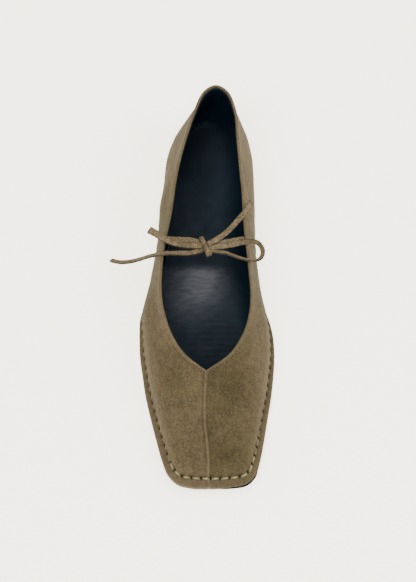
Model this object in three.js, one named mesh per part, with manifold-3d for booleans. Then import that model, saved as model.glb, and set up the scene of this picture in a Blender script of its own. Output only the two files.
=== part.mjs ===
// Ballet flat for the right foot: a soft upper whose lower edge is turned out into a flange round the
// forepart, a V throat with a raised centre seam, a thin sole with a low heel, an insole and a tie.
// Millimetres, +Z up. The toe points to -Y, the big-toe side is +X, and the floor is z = 0.
// The origin is on the floor under the middle of the heel.
import * as THREE from "three";
import { mergeVertices } from "three/addons/utils/BufferGeometryUtils.js";
import Module from "manifold-3d";

const { clamp, degToRad, lerp, smoothstep } = THREE.MathUtils;

// ---- Driving dimensions ----
const LENGTH = 250; // sole, from the heel end to the toe end
const BALL_WIDTH = 84; // sole at the ball, over the flange
const HEEL_WIDTH = 54; // sole at the seat
const INSTEP_HEIGHT = 37; // throat's point above the sole
const BACK_HEIGHT = 52; // back edge of the collar above the sole
const WALL = 2; // upper with its lining
const FLANGE_WIDTH = 6.4; // turned-out edge at the toe
const FLANGE_THICKNESS = 1.8;
const SEAM_HEIGHT = 0.6; // raised centre seam
const SEAM_WIDTH = 3.4;
const SOLE_THICKNESS = 4;
const HEEL_HEIGHT = 6; // heel under the sole
const HEEL_BREAST = 58; // heel's front face, ahead of the heel end
const TOE_SPRING = 6.4; // underside of the toe above the floor
const EDGE_CHAMFER = 0.8; // lower edge of sole and heel
const SOLE_RECESS = 0.3; // sole's side inside the flange's edge
const HEEL_RECESS = 0.9; // heel's side inside the sole's
const INSOLE_THICKNESS = 2;
const TIE_WIDTH = 3.6; // flat suede strip
const TIE_THICKNESS = 1.3;
const KNOT_SIZE = [14.2, 5.4, 5.8]; // along the wrap, across it, and high
const KNOT_TURN = 114; // wrap's direction in plan, degrees from +X
const CLEARANCE = 0.3; // between neighbouring pieces

// ---- Places along the sole, as shares of its length from the heel end ----
const HEEL_CENTRE = 0.12;
const ARCH = [0.16, 0.6]; // the sole comes down from the heel to the floor
const TREAD_END = 0.74; // toe spring begins
const SPRING_CURVE = 1.6;
const WAIST = [0.3, 0.62]; // widths pass from HEEL_WIDTH to BALL_WIDTH
const TIE_PLACE = 0.403;

// One row is one rib of the upper, from its foot on the sole's outline to its head on the centre seam
// or the collar. along, topAlong: place of foot and head along the sole. mid, half, topMid, topHalf:
// middle and half width there, as shares of the width, mid towards the big toe. flange: share of
// FLANGE_WIDTH. instep, back: the head's height as shares of INSTEP_HEIGHT and BACK_HEIGHT. lift, swell:
// how far the rib climbs before it turns in, as a share of its rise, and bulges out, as a share of the
// width. reach, lean, drop: its approach to the head, level, outward and from below.
const COLUMNS =
  "along mid half flange topAlong topMid topHalf instep back lift swell reach lean drop".split(" ");
const THROAT = 7; // row of the V's point
const RIBS = [
  [1.0, 0.019, 0.0, 1.0, 0.905, -0.004, 0.0, 0.53, 0.0, 0.8, 0.008, 0.62, 0.0, 0.02],
  [0.9985, 0.021, 0.146, 1.0, 0.9, -0.005, 0.0, 0.55, 0.0, 0.8, 0.008, 0.62, 0.0, 0.03],
  [0.988, 0.03, 0.257, 0.93, 0.893, -0.007, 0.0, 0.57, 0.0, 0.8, 0.008, 0.6, 0.0, 0.05],
  [0.966, 0.028, 0.317, 0.83, 0.884, -0.01, 0.0, 0.59, 0.0, 0.78, 0.011, 0.58, 0.0, 0.06],
  [0.93, 0.023, 0.355, 0.78, 0.868, -0.014, 0.0, 0.64, 0.0, 0.76, 0.017, 0.56, 0.0, 0.07],
  [0.88, 0.017, 0.391, 0.73, 0.842, -0.019, 0.0, 0.72, 0.0, 0.76, 0.024, 0.55, 0.0, 0.08],
  [0.82, 0.009, 0.429, 0.685, 0.8, -0.022, 0.0, 0.84, 0.0, 0.74, 0.029, 0.53, 0.0, 0.1],
  [0.755, 0.003, 0.467, 0.63, 0.744, -0.014, 0.0, 1.0, 0.0, 0.72, 0.033, 0.5, 0.0, 0.12],
  [0.705, 0.0, 0.487, 0.59, 0.702, -0.006, 0.167, 1.0, 0.0, 0.68, 0.028, 0.42, 0.0, 0.2],
  [0.655, -0.006, 0.502, 0.555, 0.652, -0.005, 0.267, 1.0, 0.01, 0.6, 0.025, 0.25, 0.003, 0.3],
  [0.6, -0.014, 0.503, 0.49, 0.598, -0.007, 0.322, 1.0, 0.02, 0.5, 0.025, 0.1, 0.012, 0.34],
  [0.55, -0.03, 0.5, 0.3, 0.548, -0.014, 0.356, 0.8, 0.163, 0.42, 0.035, 0.02, 0.026, 0.34],
  [0.49, -0.033, 0.468, 0.05, 0.49, -0.022, 0.383, 0.55, 0.35, 0.38, 0.056, 0.0, 0.042, 0.34],
  [0.41, -0.018, 0.464, 0.05, 0.41, -0.024, 0.416, 0.3, 0.535, 0.36, 0.115, 0.0, 0.067, 0.34],
  [0.31, -0.014, 0.5, 0.05, 0.31, -0.002, 0.419, 0.1, 0.72, 0.36, 0.156, 0.0, 0.084, 0.34],
  [0.22, 0.004, 0.503, 0.05, 0.222, 0.013, 0.371, 0.0, 0.86, 0.36, 0.125, 0.0, 0.06, 0.34],
  [0.14, 0.018, 0.492, 0.05, 0.15, 0.042, 0.314, 0.0, 0.915, 0.36, 0.096, 0.0, 0.044, 0.34],
  [0.07, 0.032, 0.416, 0.05, 0.083, 0.08, 0.25, 0.0, 0.963, 0.36, 0.048, 0.0, 0.018, 0.34],
  [0.02, 0.048, 0.255, 0.05, 0.031, 0.09, 0.152, 0.0, 0.99, 0.36, 0.032, 0.0, 0.013, 0.34],
  [0.0, 0.052, 0.0, 0.05, 0.011, 0.091, 0.0, 0.0, 1.0, 0.36, 0.036, 0.0, 0.012, 0.34],
].map((row) => Object.fromEntries(COLUMNS.map((name, i) => [name, row[i]])));
const MIRRORED = ["half", "topHalf"]; // columns that change sign from one side to the other

const RIB_SPACING = 5.2; // along the outline
const SEAM_RIBS = [0, 1.3, 3.2]; // closer ribs beside the seam at the toe
const HEIGHTS = [0, 0.08, 0.18, 0.3, 0.42, 0.54, 0.66, 0.78, 0.89, 0.95, 0.98, 1]; // along a rib

// ---- Outline and ribs ----
const width = (along) => lerp(HEEL_WIDTH, BALL_WIDTH, smoothstep(along, ...WAIST));
const place = (along) => (HEEL_CENTRE - along) * LENGTH;
const share = (y) => HEEL_CENTRE - y / LENGTH;

// Height of the sole's underside: down from the heel over the arch, flat at the tread, up at the toe.
function underside(y) {
  const along = share(y);
  const spring = Math.max(0, (along - TREAD_END) / (1 - TREAD_END));
  return HEEL_HEIGHT * (1 - smoothstep(along, ...ARCH)) + TOE_SPRING * spring ** SPRING_CURVE;
}
const seat = (y) => underside(y) + SOLE_THICKNESS + CLEARANCE; // what lies on the sole starts here

// Distance of each rib's foot from the toe along the outline, as the mean of the two sides.
const foot = (row, side) =>
  new THREE.Vector2((row.mid + side * row.half) * width(row.along), place(row.along));
const KNOTS = [0];
for (let i = 1; i < RIBS.length; i++) {
  const chord = (side) => foot(RIBS[i], side).distanceTo(foot(RIBS[i - 1], side));
  KNOTS.push(KNOTS[i - 1] + (chord(1) + chord(-1)) / 2);
}
const LAST = RIBS.length - 1;

// Smooth cubic through rows first..last of a column. A slope is the mean of the rises on both sides,
// weighted by the other's distance. At a mirrored end the far side's row is the neighbour.
function columnCurve(name, first = 0, last = LAST, mirrorStart = true, mirrorEnd = true) {
  const sign = MIRRORED.includes(name) ? -1 : 1;
  const x = KNOTS.slice(first, last + 1);
  const y = RIBS.slice(first, last + 1).map((row) => row[name]);
  if (mirrorStart) {
    x.unshift(2 * x[0] - x[1]);
    y.unshift(sign * y[1]);
  }
  if (mirrorEnd) {
    x.push(2 * x.at(-1) - x.at(-2));
    y.push(sign * y.at(-2));
  }
  const rise = (i) => (y[i + 1] - y[i]) / (x[i + 1] - x[i]);
  const slope = x.map((_, i) => {
    if (i === 0) return rise(0);
    if (i === x.length - 1) return rise(i - 1);
    const before = x[i] - x[i - 1];
    const after = x[i + 1] - x[i];
    return (rise(i - 1) * after + rise(i) * before) / (before + after);
  });
  return (q) => {
    const i = clamp(x.findLastIndex((knot) => knot <= q), 0, x.length - 2);
    const span = x[i + 1] - x[i];
    const t = (q - x[i]) / span;
    return (
      (1 + 2 * t) * (1 - t) ** 2 * y[i] +
      t * (1 - t) ** 2 * span * slope[i] +
      t * t * (3 - 2 * t) * y[i + 1] +
      t * t * (t - 1) * span * slope[i + 1]
    );
  };
}

const HEAD = ["topAlong", "topMid", "topHalf", "instep", "back"]; // these turn a corner at the throat
const CURVES = COLUMNS.map((name) => {
  if (!HEAD.includes(name)) return [name, columnCurve(name)];
  const front = columnCurve(name, 0, THROAT, false, false);
  const rear = columnCurve(name, THROAT, LAST, false, true);
  return [name, (q) => (q <= KNOTS[THROAT] ? front : rear)(q)];
});
const rib = (q) => Object.fromEntries(CURVES.map(([name, curve]) => [name, curve(q)]));

// The head of a rib, on the outer face.
function head(r, side) {
  const y = place(r.topAlong);
  const x = (r.topMid + side * r.topHalf) * width(r.topAlong);
  const rise = r.instep * INSTEP_HEIGHT + r.back * BACK_HEIGHT;
  return new THREE.Vector3(x, y, seat(y) + rise);
}

// Distances along the outline at which the ribs stand, with one exactly at the throat's point.
function spread(from, to) {
  const steps = Math.ceil((to - from) / RIB_SPACING);
  return Array.from({ length: steps }, (_, i) => lerp(from, to, i / steps));
}
const STATIONS = [
  ...SEAM_RIBS.slice(0, -1),
  ...spread(SEAM_RIBS.at(-1), KNOTS[THROAT]),
  ...spread(KNOTS[THROAT], KNOTS[LAST]),
  KNOTS[LAST],
];
const THROAT_STATION = STATIONS.indexOf(KNOTS[THROAT]);

// The whole ring of ribs: toe, big-toe side, heel, little-toe side and back towards the toe.
const HALF_RING = STATIONS.length - 1;
const RING = 2 * HALF_RING;
const wrap = (k) => (k + RING) % RING;
const stationOf = (k) => (k <= HALF_RING ? k : RING - k);
const sideOf = (k) => (k <= HALF_RING ? 1 : -1);
const ribs = Array.from({ length: RING }, (_, k) => {
  const r = rib(STATIONS[stationOf(k)]);
  return { ...r, edge: foot(r, sideOf(k)), head: head(r, sideOf(k)) };
});
ribs.forEach((r, k) => {
  const along = ribs[wrap(k + 1)].edge.clone().sub(ribs[wrap(k - 1)].edge).normalize();
  r.out = new THREE.Vector2(along.y, -along.x);
});
const inset = (r, distance) => r.edge.clone().addScaledVector(r.out, -distance);
const raise = (p, z) => new THREE.Vector3(p.x, p.y, z);

// ---- Solids from loops ----
function geometryOf(points, faces) {
  const raw = new THREE.BufferGeometry().setFromPoints(points).setIndex(faces.flat());
  const merged = mergeVertices(raw, 1e-4);
  const index = [];
  for (let i = 0; i < merged.index.count; i += 3) {
    const [a, b, c] = [0, 1, 2].map((j) => merged.index.getX(i + j));
    if (a !== b && b !== c && c !== a) index.push(a, b, c);
  }
  return merged.setIndex(index);
}

// Joins loops of equally many points into a skin. A joint that skip(k, i) names stays open.
function skin(loops, closed, skip = () => false) {
  const size = loops[0].length;
  const faces = [];
  loops.forEach((_, k) => {
    const next = (k + 1) % loops.length;
    if (next === 0 && !closed) return;
    for (let i = 0; i < size; i++) {
      if (skip(k, i)) continue;
      const j = (i + 1) % size;
      const [a, b, c, d] = [k * size + i, k * size + j, next * size + j, next * size + i];
      faces.push([a, c, b], [a, d, c]);
    }
  });
  return geometryOf(loops.flat(), faces);
}

// ---- Upper ----
// A rib is one Bezier curve: up from the stitch line and out, then over to the head.
function ribCurve(r) {
  const base = inset(r, r.flange * FLANGE_WIDTH);
  const start = raise(base, seat(base.y) + FLANGE_THICKNESS);
  const rise = r.head.z - start.z;
  const size = width(r.along);
  const climb = raise(r.out.clone().multiplyScalar(r.swell * size), r.lift * rise);
  const approach = new THREE.Vector3(
    (start.x - r.head.x) * r.reach + r.out.x * r.lean * size,
    (start.y - r.head.y) * r.reach + r.out.y * r.lean * size,
    -r.drop * rise,
  );
  return new THREE.CubicBezierCurve3(
    start, start.clone().add(climb), r.head.clone().add(approach), r.head);
}

const onSeam = (k) => stationOf(k) <= THROAT_STATION;
const TOP = HEIGHTS.length - 1;
const grid = ribs.map((r) => HEIGHTS.map((v) => ribCurve(r).getPoint(v)));

// Outward normal of the wall. On the seam it is upright across and square to the seam's slope.
function wallNormal(k, i) {
  if (i === TOP && onSeam(k)) {
    const j = stationOf(k);
    const slope = ribs[Math.max(j - 1, 0)].head.clone()
      .sub(ribs[Math.min(j + 1, THROAT_STATION)].head);
    return new THREE.Vector3(0, -slope.z, slope.y).normalize().multiplyScalar(-1);
  }
  const around = grid[wrap(k + 1)][i].clone().sub(grid[wrap(k - 1)][i]);
  const up = grid[k][Math.min(i + 1, TOP)].clone().sub(grid[k][Math.max(i - 1, 0)]);
  return around.cross(up).normalize();
}

// The centre seam stands up along the ribs' heads and on to the toe.
const seamHeads = ribs.slice(0, THROAT_STATION + 1).map((r) => r.head);
function seamLine(y) {
  const toe = ribs[0].edge;
  const front = seamHeads[0];
  if (y <= front.y) return lerp(toe.x, front.x, clamp((y - toe.y) / (front.y - toe.y), 0, 1));
  const i = clamp(seamHeads.findLastIndex((p) => p.y <= y), 0, seamHeads.length - 2);
  const [a, b] = [seamHeads[i], seamHeads[i + 1]];
  return lerp(a.x, b.x, (y - a.y) / (b.y - a.y));
}
function seamRidge(p) {
  if (p.y > seamHeads.at(-1).y + CLEARANCE) return 0;
  const u = Math.min(1, Math.abs(p.x - seamLine(p.y)) / (SEAM_WIDTH / 2));
  return SEAM_HEIGHT * (1 - u * u) ** 2;
}

const upperLoops = ribs.map((r, k) => {
  const outer = grid[k].map((p) => p.clone().setZ(p.z + seamRidge(p)));
  const inner = grid[k].map((p, i) => p.clone().addScaledVector(wallNormal(k, i), -WALL));
  const bottom = inset(r, r.flange * FLANGE_WIDTH + WALL);
  inner[0] = raise(bottom, seat(bottom.y));
  return [
    raise(r.edge, seat(r.edge.y)),
    raise(r.edge, seat(r.edge.y) + FLANGE_THICKNESS),
    ...outer,
    ...inner.reverse(),
  ];
});
const RIM = 2 + TOP; // joint between the outer and inner head
const upperGeometry = skin(upperLoops, true,
  (k, i) => i === RIM && onSeam(k) && onSeam(wrap(k + 1)));

// ---- Plates inside the outline: sole, heel and insole ----
// Ribs k and -k face each other, so a plate is a row of cross sections from toe to heel.
function plate(recess, low, high, chamfer = 0) {
  const loops = [];
  for (let k = 0; k <= HALF_RING; k++) {
    const pair = [ribs[k], ribs[wrap(-k)]];
    const [b, a] = pair.map((r) => inset(r, recess(r)));
    const [bIn, aIn] = pair.map((r) => inset(r, recess(r) + chamfer));
    if (k === 0 || k === HALF_RING) [a, b, aIn, bIn].forEach((p, _, all) => p.setX(all[0].x));
    loops.push([
      raise(a, high(a.y)),
      raise(a, low(a.y) + chamfer),
      ...(chamfer ? [raise(aIn, low(aIn.y)), raise(bIn, low(bIn.y))] : []),
      raise(b, low(b.y) + chamfer),
      raise(b, high(b.y)),
    ]);
  }
  return skin(loops, false);
}

const wasm = await Module();
wasm.setup();
function toSolid(geometry) {
  return new wasm.Manifold(new wasm.Mesh({
    numProp: 3,
    vertProperties: geometry.attributes.position.array,
    triVerts: new Uint32Array(geometry.index.array),
  }));
}
function toGeometry(solid) {
  const mesh = solid.getMesh();
  return new THREE.BufferGeometry()
    .setAttribute("position", new THREE.BufferAttribute(mesh.vertProperties, 3))
    .setIndex(new THREE.BufferAttribute(mesh.triVerts, 1));
}

const soleGeometry = plate(
  () => SOLE_RECESS, underside, (y) => underside(y) + SOLE_THICKNESS, EDGE_CHAMFER);
const heelPlate = plate(
  () => SOLE_RECESS + HEEL_RECESS, () => 0, (y) => underside(y) + SOLE_THICKNESS / 2, EDGE_CHAMFER);
const heelSpace = new THREE.BoxGeometry(2 * HEEL_WIDTH, LENGTH, LENGTH);
heelSpace.deleteAttribute("normal").deleteAttribute("uv");
heelSpace.translate(0, place(0) - HEEL_BREAST + LENGTH / 2, 0);
const outsoleGeometry = toGeometry(
  toSolid(soleGeometry).add(toSolid(heelPlate).intersect(toSolid(mergeVertices(heelSpace)))));

const insoleGeometry = plate(
  (r) => r.flange * FLANGE_WIDTH + WALL + CLEARANCE, seat, (y) => seat(y) + INSOLE_THICKNESS);

// ---- Tie ----
// Middle of the collar where the tie crosses: the tie's points are set out from here.
function collarAt(along) {
  let [low, high] = [KNOTS[THROAT], KNOTS[LAST]];
  for (let i = 0; i < 40; i++) {
    const q = (low + high) / 2;
    if (rib(q).topAlong > along) low = q;
    else high = q;
  }
  return [head(rib(low), 1), head(rib(low), -1)];
}
const [collarIn, collarOut] = collarAt(TIE_PLACE);
const TIE_ASIDE = 0.6; // the bow sits this far from the collar's middle, towards the big toe
const tieCentre = collarIn.clone().add(collarOut).multiplyScalar(0.5);
tieCentre.x += TIE_ASIDE;

// A path that carries a flat strip: the strip's face stays up, apart from the roll at each point.
class StripPath extends THREE.CatmullRomCurve3 {
  constructor(route) {
    super(route.map(([x, y, z]) => new THREE.Vector3(x, y, z)));
    this.rolls = route.map((point) => degToRad(point[3] ?? 0));
  }
  computeFrenetFrames(segments) {
    const tangents = [], normals = [], binormals = [];
    let across = null;
    for (let i = 0; i <= segments; i++) {
      const tangent = this.getTangentAt(i / segments);
      across ??= new THREE.Vector3(0, 0, 1).cross(tangent);
      across.addScaledVector(tangent, -across.dot(tangent)).normalize();
      const place = this.getUtoTmapping(i / segments) * (this.rolls.length - 1);
      const j = Math.min(Math.floor(place), this.rolls.length - 2);
      const roll = lerp(this.rolls[j], this.rolls[j + 1], place - j);
      const side = across.clone().applyAxisAngle(tangent, roll);
      tangents.push(tangent);
      normals.push(side);
      binormals.push(tangent.clone().cross(side));
    }
    return { tangents, normals, binormals };
  }
}

// Flat strip with eight sides along a route of [x, y, z, roll in degrees].
function strip(route, spacing) {
  const path = new StripPath(route);
  const [w, t] = [TIE_WIDTH / 2, TIE_THICKNESS / 2];
  const c = t / 2;
  const corners = [[w - c, t], [w, t - c], [w, c - t], [w - c, -t],
    [c - w, -t], [-w, c - t], [-w, t - c], [c - w, t]];
  const section = new THREE.Shape(corners.map(([x, y]) => new THREE.Vector2(x, y)));
  const steps = Math.ceil(path.getLength() / spacing);
  return new THREE.ExtrudeGeometry(section,
    { steps, bevelEnabled: false, extrudePath: path });
}
const STRAP_SPACING = 5;
const LOOP_SPACING = 2.6;
const END_SPACING = 5;

// Straps run from the collar's edge, where they come out of its seam, down to the knot.
const [knotLong, knotWide, knotHigh] = KNOT_SIZE;
const KNOT_SHIFT = [-1, -5.7, 0.4]; // knot's centre from the tie's centre
const STRAP_DEPTH = 1; // straps come out this far below the collar's edge
const STRAP_SAG = 1.2; // and go down this much to the knot
const STRAP_LEFT_END = [-0.6, -0.7]; // into the knot's side, and along the shoe from the tie's centre
const STRAP_RIGHT_END = [0.5, -3.6];
function strapRoute(collar, side, [inward, aside]) {
  const start = collar.clone().add(
    new THREE.Vector3(-side * (WALL + 1.5 * CLEARANCE), 0, -STRAP_DEPTH));
  const end = tieCentre.clone().add(
    new THREE.Vector3(KNOT_SHIFT[0] + side * (knotWide / 2 - inward), aside, 0));
  return [0, 0.35, 0.7, 1].map((t) => {
    const p = start.clone().lerp(end, t);
    return [p.x, p.y, start.z - STRAP_SAG * (1 - (1 - t) ** 2)];
  });
}

const knotGeometry = new THREE.SphereGeometry(0.5, 14, 10);
knotGeometry.scale(knotLong, knotWide, knotHigh);
knotGeometry.rotateZ(degToRad(KNOT_TURN));

// Loops and ends, set out from the tie's centre.
const LOOP_LEFT = [
  [-5.0, -5.6, -0.5], [-10.0, -5.3, 0.0], [-16.1, -4.8, 0.5], [-22.3, -3.3, 1.2],
  [-25.7, -1.6, 1.6], [-29.7, 1.3, 1.3], [-33.8, 4.3, 0.2], [-35.6, 5.4, 0.4], [-34.0, 4.1, 1.5],
  [-29.7, 0.9, 3.1], [-25.6, -2.1, 3.7], [-19.8, -4.4, 3.0], [-12.4, -5.5, 2.2],
  [-4.9, -5.8, 1.9]];
const LOOP_RIGHT = [
  [2.8, -6.1, -0.1, 0], [8.5, -5.7, 0.2, 0], [14.7, -4.8, 0.6, 5], [19.0, -3.9, 1.2, 25],
  [23.0, -3.5, 2.2, 50], [27.0, -3.1, 2.3, 65], [30.4, -3.1, 1.5, 72], [33.2, -4.8, 0.0, 75],
  [34.6, -7.9, -0.8, 78], [34.4, -10.7, -1.2, 78], [32.8, -13.3, -1.2, 76],
  [29.7, -14.9, 0.1, 74], [25.7, -14.9, 1.0, 70], [20.8, -13.6, 0.9, 66], [15.9, -11.6, 0.4, 62],
  [11.6, -9.7, 0.0, 58], [7.3, -9.1, 0.0, 50], [3.3, -9.4, 0.1, 40]];
const END_LEFT = [
  [-3.4, -9.5, -0.1, 10], [-10.0, -9.8, -0.1, 18], [-16.1, -10.1, 0.3, 28],
  [-22.2, -10.4, 1.0, 38], [-26.5, -10.8, 1.5, 48], [-30.9, -11.3, 0.7, 56],
  [-35.9, -11.4, -2.0, 58], [-40.9, -12.2, -4.2, 58], [-46.5, -12.6, -6.9, 56],
  [-52.3, -12.1, -9.6, 52], [-56.7, -10.7, -11.6, 52], [-59.6, -9.2, -13.0, 55]];
const END_RIGHT = [
  [1.5, -4.0, 2.3, 15], [4.8, -2.5, 2.3, 20], [9.8, 1.0, 2.1, 26], [14.7, 5.8, 1.9, 30],
  [19.7, 11.3, 3.1, 30], [23.4, 15.3, 4.7, 30], [26.1, 19.3, 5.7, 34], [27.7, 22.5, 5.9, 36]];

// ---- Scene ----
const suede = new THREE.MeshStandardMaterial({ color: 0x7a6b50, roughness: 0.95, metalness: 0 });
const suedeTie = new THREE.MeshStandardMaterial({ color: 0x857558, roughness: 0.95, metalness: 0 });
const leather = new THREE.MeshStandardMaterial({ color: 0x121f27, roughness: 0.5, metalness: 0 });
const rubber = new THREE.MeshStandardMaterial({ color: 0x17161a, roughness: 0.7, metalness: 0 });

const shoe = new THREE.Group();
function add(name, geometry, material, parent = shoe) {
  const mesh = new THREE.Mesh(geometry, material);
  mesh.name = name;
  parent.add(mesh);
  return mesh;
}
add("outsole", outsoleGeometry, rubber);
add("insole", insoleGeometry, leather);
add("upper", upperGeometry, suede);
add("tie_strap_left", strip(strapRoute(collarOut, -1, STRAP_LEFT_END), STRAP_SPACING), suedeTie);
add("tie_strap_right", strip(strapRoute(collarIn, 1, STRAP_RIGHT_END), STRAP_SPACING), suedeTie);

const tie = new THREE.Group();
tie.position.copy(tieCentre);
shoe.add(tie);
add("knot", knotGeometry, suedeTie, tie).position.set(...KNOT_SHIFT);
add("loop_left", strip(LOOP_LEFT, LOOP_SPACING), suedeTie, tie);
add("loop_right", strip(LOOP_RIGHT, LOOP_SPACING), suedeTie, tie);
add("end_left", strip(END_LEFT, END_SPACING), suedeTie, tie);
add("end_right", strip(END_RIGHT, END_SPACING), suedeTie, tie);

export default shoe;
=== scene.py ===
# %% [markdown]
# # A suede ballet flat
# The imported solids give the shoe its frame: floor, length, sole and the space of every piece. This
# script dresses them. The suede upper, its lining, the insole, the sole and the tie are surfaces
# worked out from the same rib table as the solids, only finer, and the hand stitches lie along
# their line.

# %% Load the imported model
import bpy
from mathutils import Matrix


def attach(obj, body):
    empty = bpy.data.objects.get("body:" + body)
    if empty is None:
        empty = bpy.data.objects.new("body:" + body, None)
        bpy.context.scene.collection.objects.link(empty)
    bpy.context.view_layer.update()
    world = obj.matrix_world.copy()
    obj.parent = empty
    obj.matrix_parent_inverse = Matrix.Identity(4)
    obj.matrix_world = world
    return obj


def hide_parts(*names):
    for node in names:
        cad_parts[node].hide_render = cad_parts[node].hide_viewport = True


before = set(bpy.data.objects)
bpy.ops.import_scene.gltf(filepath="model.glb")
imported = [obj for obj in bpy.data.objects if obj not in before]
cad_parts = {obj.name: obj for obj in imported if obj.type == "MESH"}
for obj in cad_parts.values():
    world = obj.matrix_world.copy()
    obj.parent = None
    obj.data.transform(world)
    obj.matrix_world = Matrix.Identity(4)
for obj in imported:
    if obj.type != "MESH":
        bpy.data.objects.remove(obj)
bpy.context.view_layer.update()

import bmesh
import bpy
import numpy as np
from mathutils import Vector

MM = 0.001

# %% [markdown]
# ## The camera
# The photograph looks down at the shoe from in front of the toe. A long lens from a metre away
# keeps the toe and the heel nearly in scale. It is set first, because the tie is laid out in its
# view.

# %% Camera
TILT = 68.5  # degrees above the floor
DISTANCE = 1045  # mm from the target
TARGET = (0, -87.7, 0)
FOCAL_PIXELS, PHOTO_HEIGHT, SENSOR_MM = 1632, 582, 24

def add_object(name, data):
    """A new object with this data, in the scene."""
    thing = bpy.data.objects.new(name, data)
    bpy.context.scene.collection.objects.link(thing)
    return thing


def aim_camera():
    """Stand DISTANCE from TARGET at TILT above the floor, on the toe's side, and look at it."""
    tilt = np.radians(TILT)
    data = bpy.data.cameras.new("camera")
    data.sensor_fit, data.sensor_height = "VERTICAL", SENSOR_MM
    data.lens = FOCAL_PIXELS * SENSOR_MM / PHOTO_HEIGHT
    data.clip_start, data.clip_end = 0.05, 20
    camera = add_object("camera", data)
    camera.location = Vector(TARGET) * MM + Vector(
        (0, -np.cos(tilt), np.sin(tilt))) * DISTANCE * MM
    camera.rotation_euler = (np.pi / 2 - tilt, 0, 0)
    bpy.context.scene.camera = camera
    return camera

camera = aim_camera()
print("lens, mm:", round(camera.data.lens, 1))

# %% [markdown]
# ## Meshes from arrays
# Every piece is a row of closed loops with equally many points: a loop is one cross section, and
# quads join each loop to the next. One function turns such an array into a mesh, welds what
# coincides, and stores named values on the points for the materials to read.

# %% Mesh helpers
def loop_faces(count, size, ring, skip=None):
    """Quads between loop k and k+1 and between point i and i+1, round each loop. With ring, the
    last loop joins the first. skip is a mask of (loop, point) joints that stay open."""
    k, i = np.meshgrid(np.arange(count if ring else count - 1), np.arange(size), indexing="ij")
    if skip is not None:
        k, i = k[~skip[: k.shape[0]]], i[~skip[: i.shape[0]]]
    k, i = k.ravel(), i.ravel()
    k2, i2 = (k + 1) % count, (i + 1) % size
    return np.stack([k * size + i, k2 * size + i, k2 * size + i2, k * size + i2], axis=1)


def new_mesh(name, points, faces, material, values=None, weld=2e-6):
    """A smooth-shaded mesh object from points in mm and faces as rows of their indices, with one
    float attribute for each of values."""
    mesh = bpy.data.meshes.new(name)
    faces = faces if isinstance(faces, list) else faces.tolist()
    mesh.from_pydata((points.reshape(-1, 3) * MM).tolist(), [], faces)
    for key, value in (values or {}).items():
        layer = mesh.attributes.new(key, "FLOAT", "POINT")
        layer.data.foreach_set("value", np.ravel(value).astype(np.float32))
    shape = bmesh.new()
    shape.from_mesh(mesh)
    bmesh.ops.remove_doubles(shape, verts=shape.verts, dist=weld)
    bmesh.ops.dissolve_degenerate(shape, edges=shape.edges, dist=1e-8)
    loose = [v for v in shape.verts if not v.link_faces]
    bmesh.ops.delete(shape, geom=loose, context="VERTS")
    if shape.calc_volume(signed=True) < 0:
        bmesh.ops.reverse_faces(shape, faces=shape.faces)
    open_edges = sum(len(e.link_faces) != 2 for e in shape.edges)
    shape.to_mesh(mesh)
    shape.free()
    mesh.polygons.foreach_set("use_smooth", np.ones(len(mesh.polygons), dtype=bool))
    mesh.materials.append(material)
    piece = add_object(name, mesh)
    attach(piece, "root")
    print(f"{name}: {len(mesh.polygons)} faces, {open_edges} open edges")
    return piece


def unit(vectors):
    """The same directions with length 1."""
    return vectors / np.linalg.norm(vectors, axis=-1, keepdims=True)


def run_along(points):
    """Length of a line from its first point to each of its points."""
    return np.r_[0, np.cumsum(np.linalg.norm(np.diff(points, axis=0), axis=1))]


def at_places(spots, run, rows):
    """Rows at the distances spots, straight between the distances run at which they are known."""
    return np.stack([np.interp(spots, run, column) for column in rows.T], axis=1)


def turns(count):
    """Angles of count even steps round a circle."""
    return np.linspace(0, 2 * np.pi, count, endpoint=False)


def rounded(values, power):
    """Each value's sign with its size raised to a power: it squares off a section's sine and
    cosine."""
    return np.sign(values) * np.abs(values) ** power


def smoothstep(x, low, high):
    """0 below low, 1 above high, and an S-shaped climb between."""
    t = np.clip((x - low) / (high - low), 0, 1)
    return t * t * (3 - 2 * t)


def hump(x, centre, reach):
    """1 at centre, falling as a bell to nothing much at twice the reach."""
    return np.exp(-(((x - centre) / reach) ** 2))


def cloud(points, wavelength, seed=0.0):
    """Soft uneven swell from -1 to 1: three products of sines that cross at odd angles."""
    p = points / wavelength * 2 * np.pi
    a = np.sin(p[..., 0] * 0.9 + p[..., 1] * 0.43 + seed) * np.sin(
        p[..., 1] * 0.71 - p[..., 2] * 0.52 + 1.7 * seed)
    b = np.sin(p[..., 0] * 0.37 - p[..., 1] * 0.93 + 2.3 + seed) * np.sin(
        p[..., 2] * 0.88 + p[..., 0] * 0.61 + 0.4)
    c = np.sin(p[..., 0] * 1.31 + p[..., 2] * 0.29 + 4.1 - seed) * np.sin(
        p[..., 1] * 1.17 + p[..., 0] * 0.33 + 0.9)
    return (a + b + c) / 2

# %% [markdown]
# ## Node helpers
# Suede, leather, thread and rubber are all a Principled shader with a few noises. These helpers
# make a node, join sockets, and read a value stored on the mesh, so that each finish below stays
# short.

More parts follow.
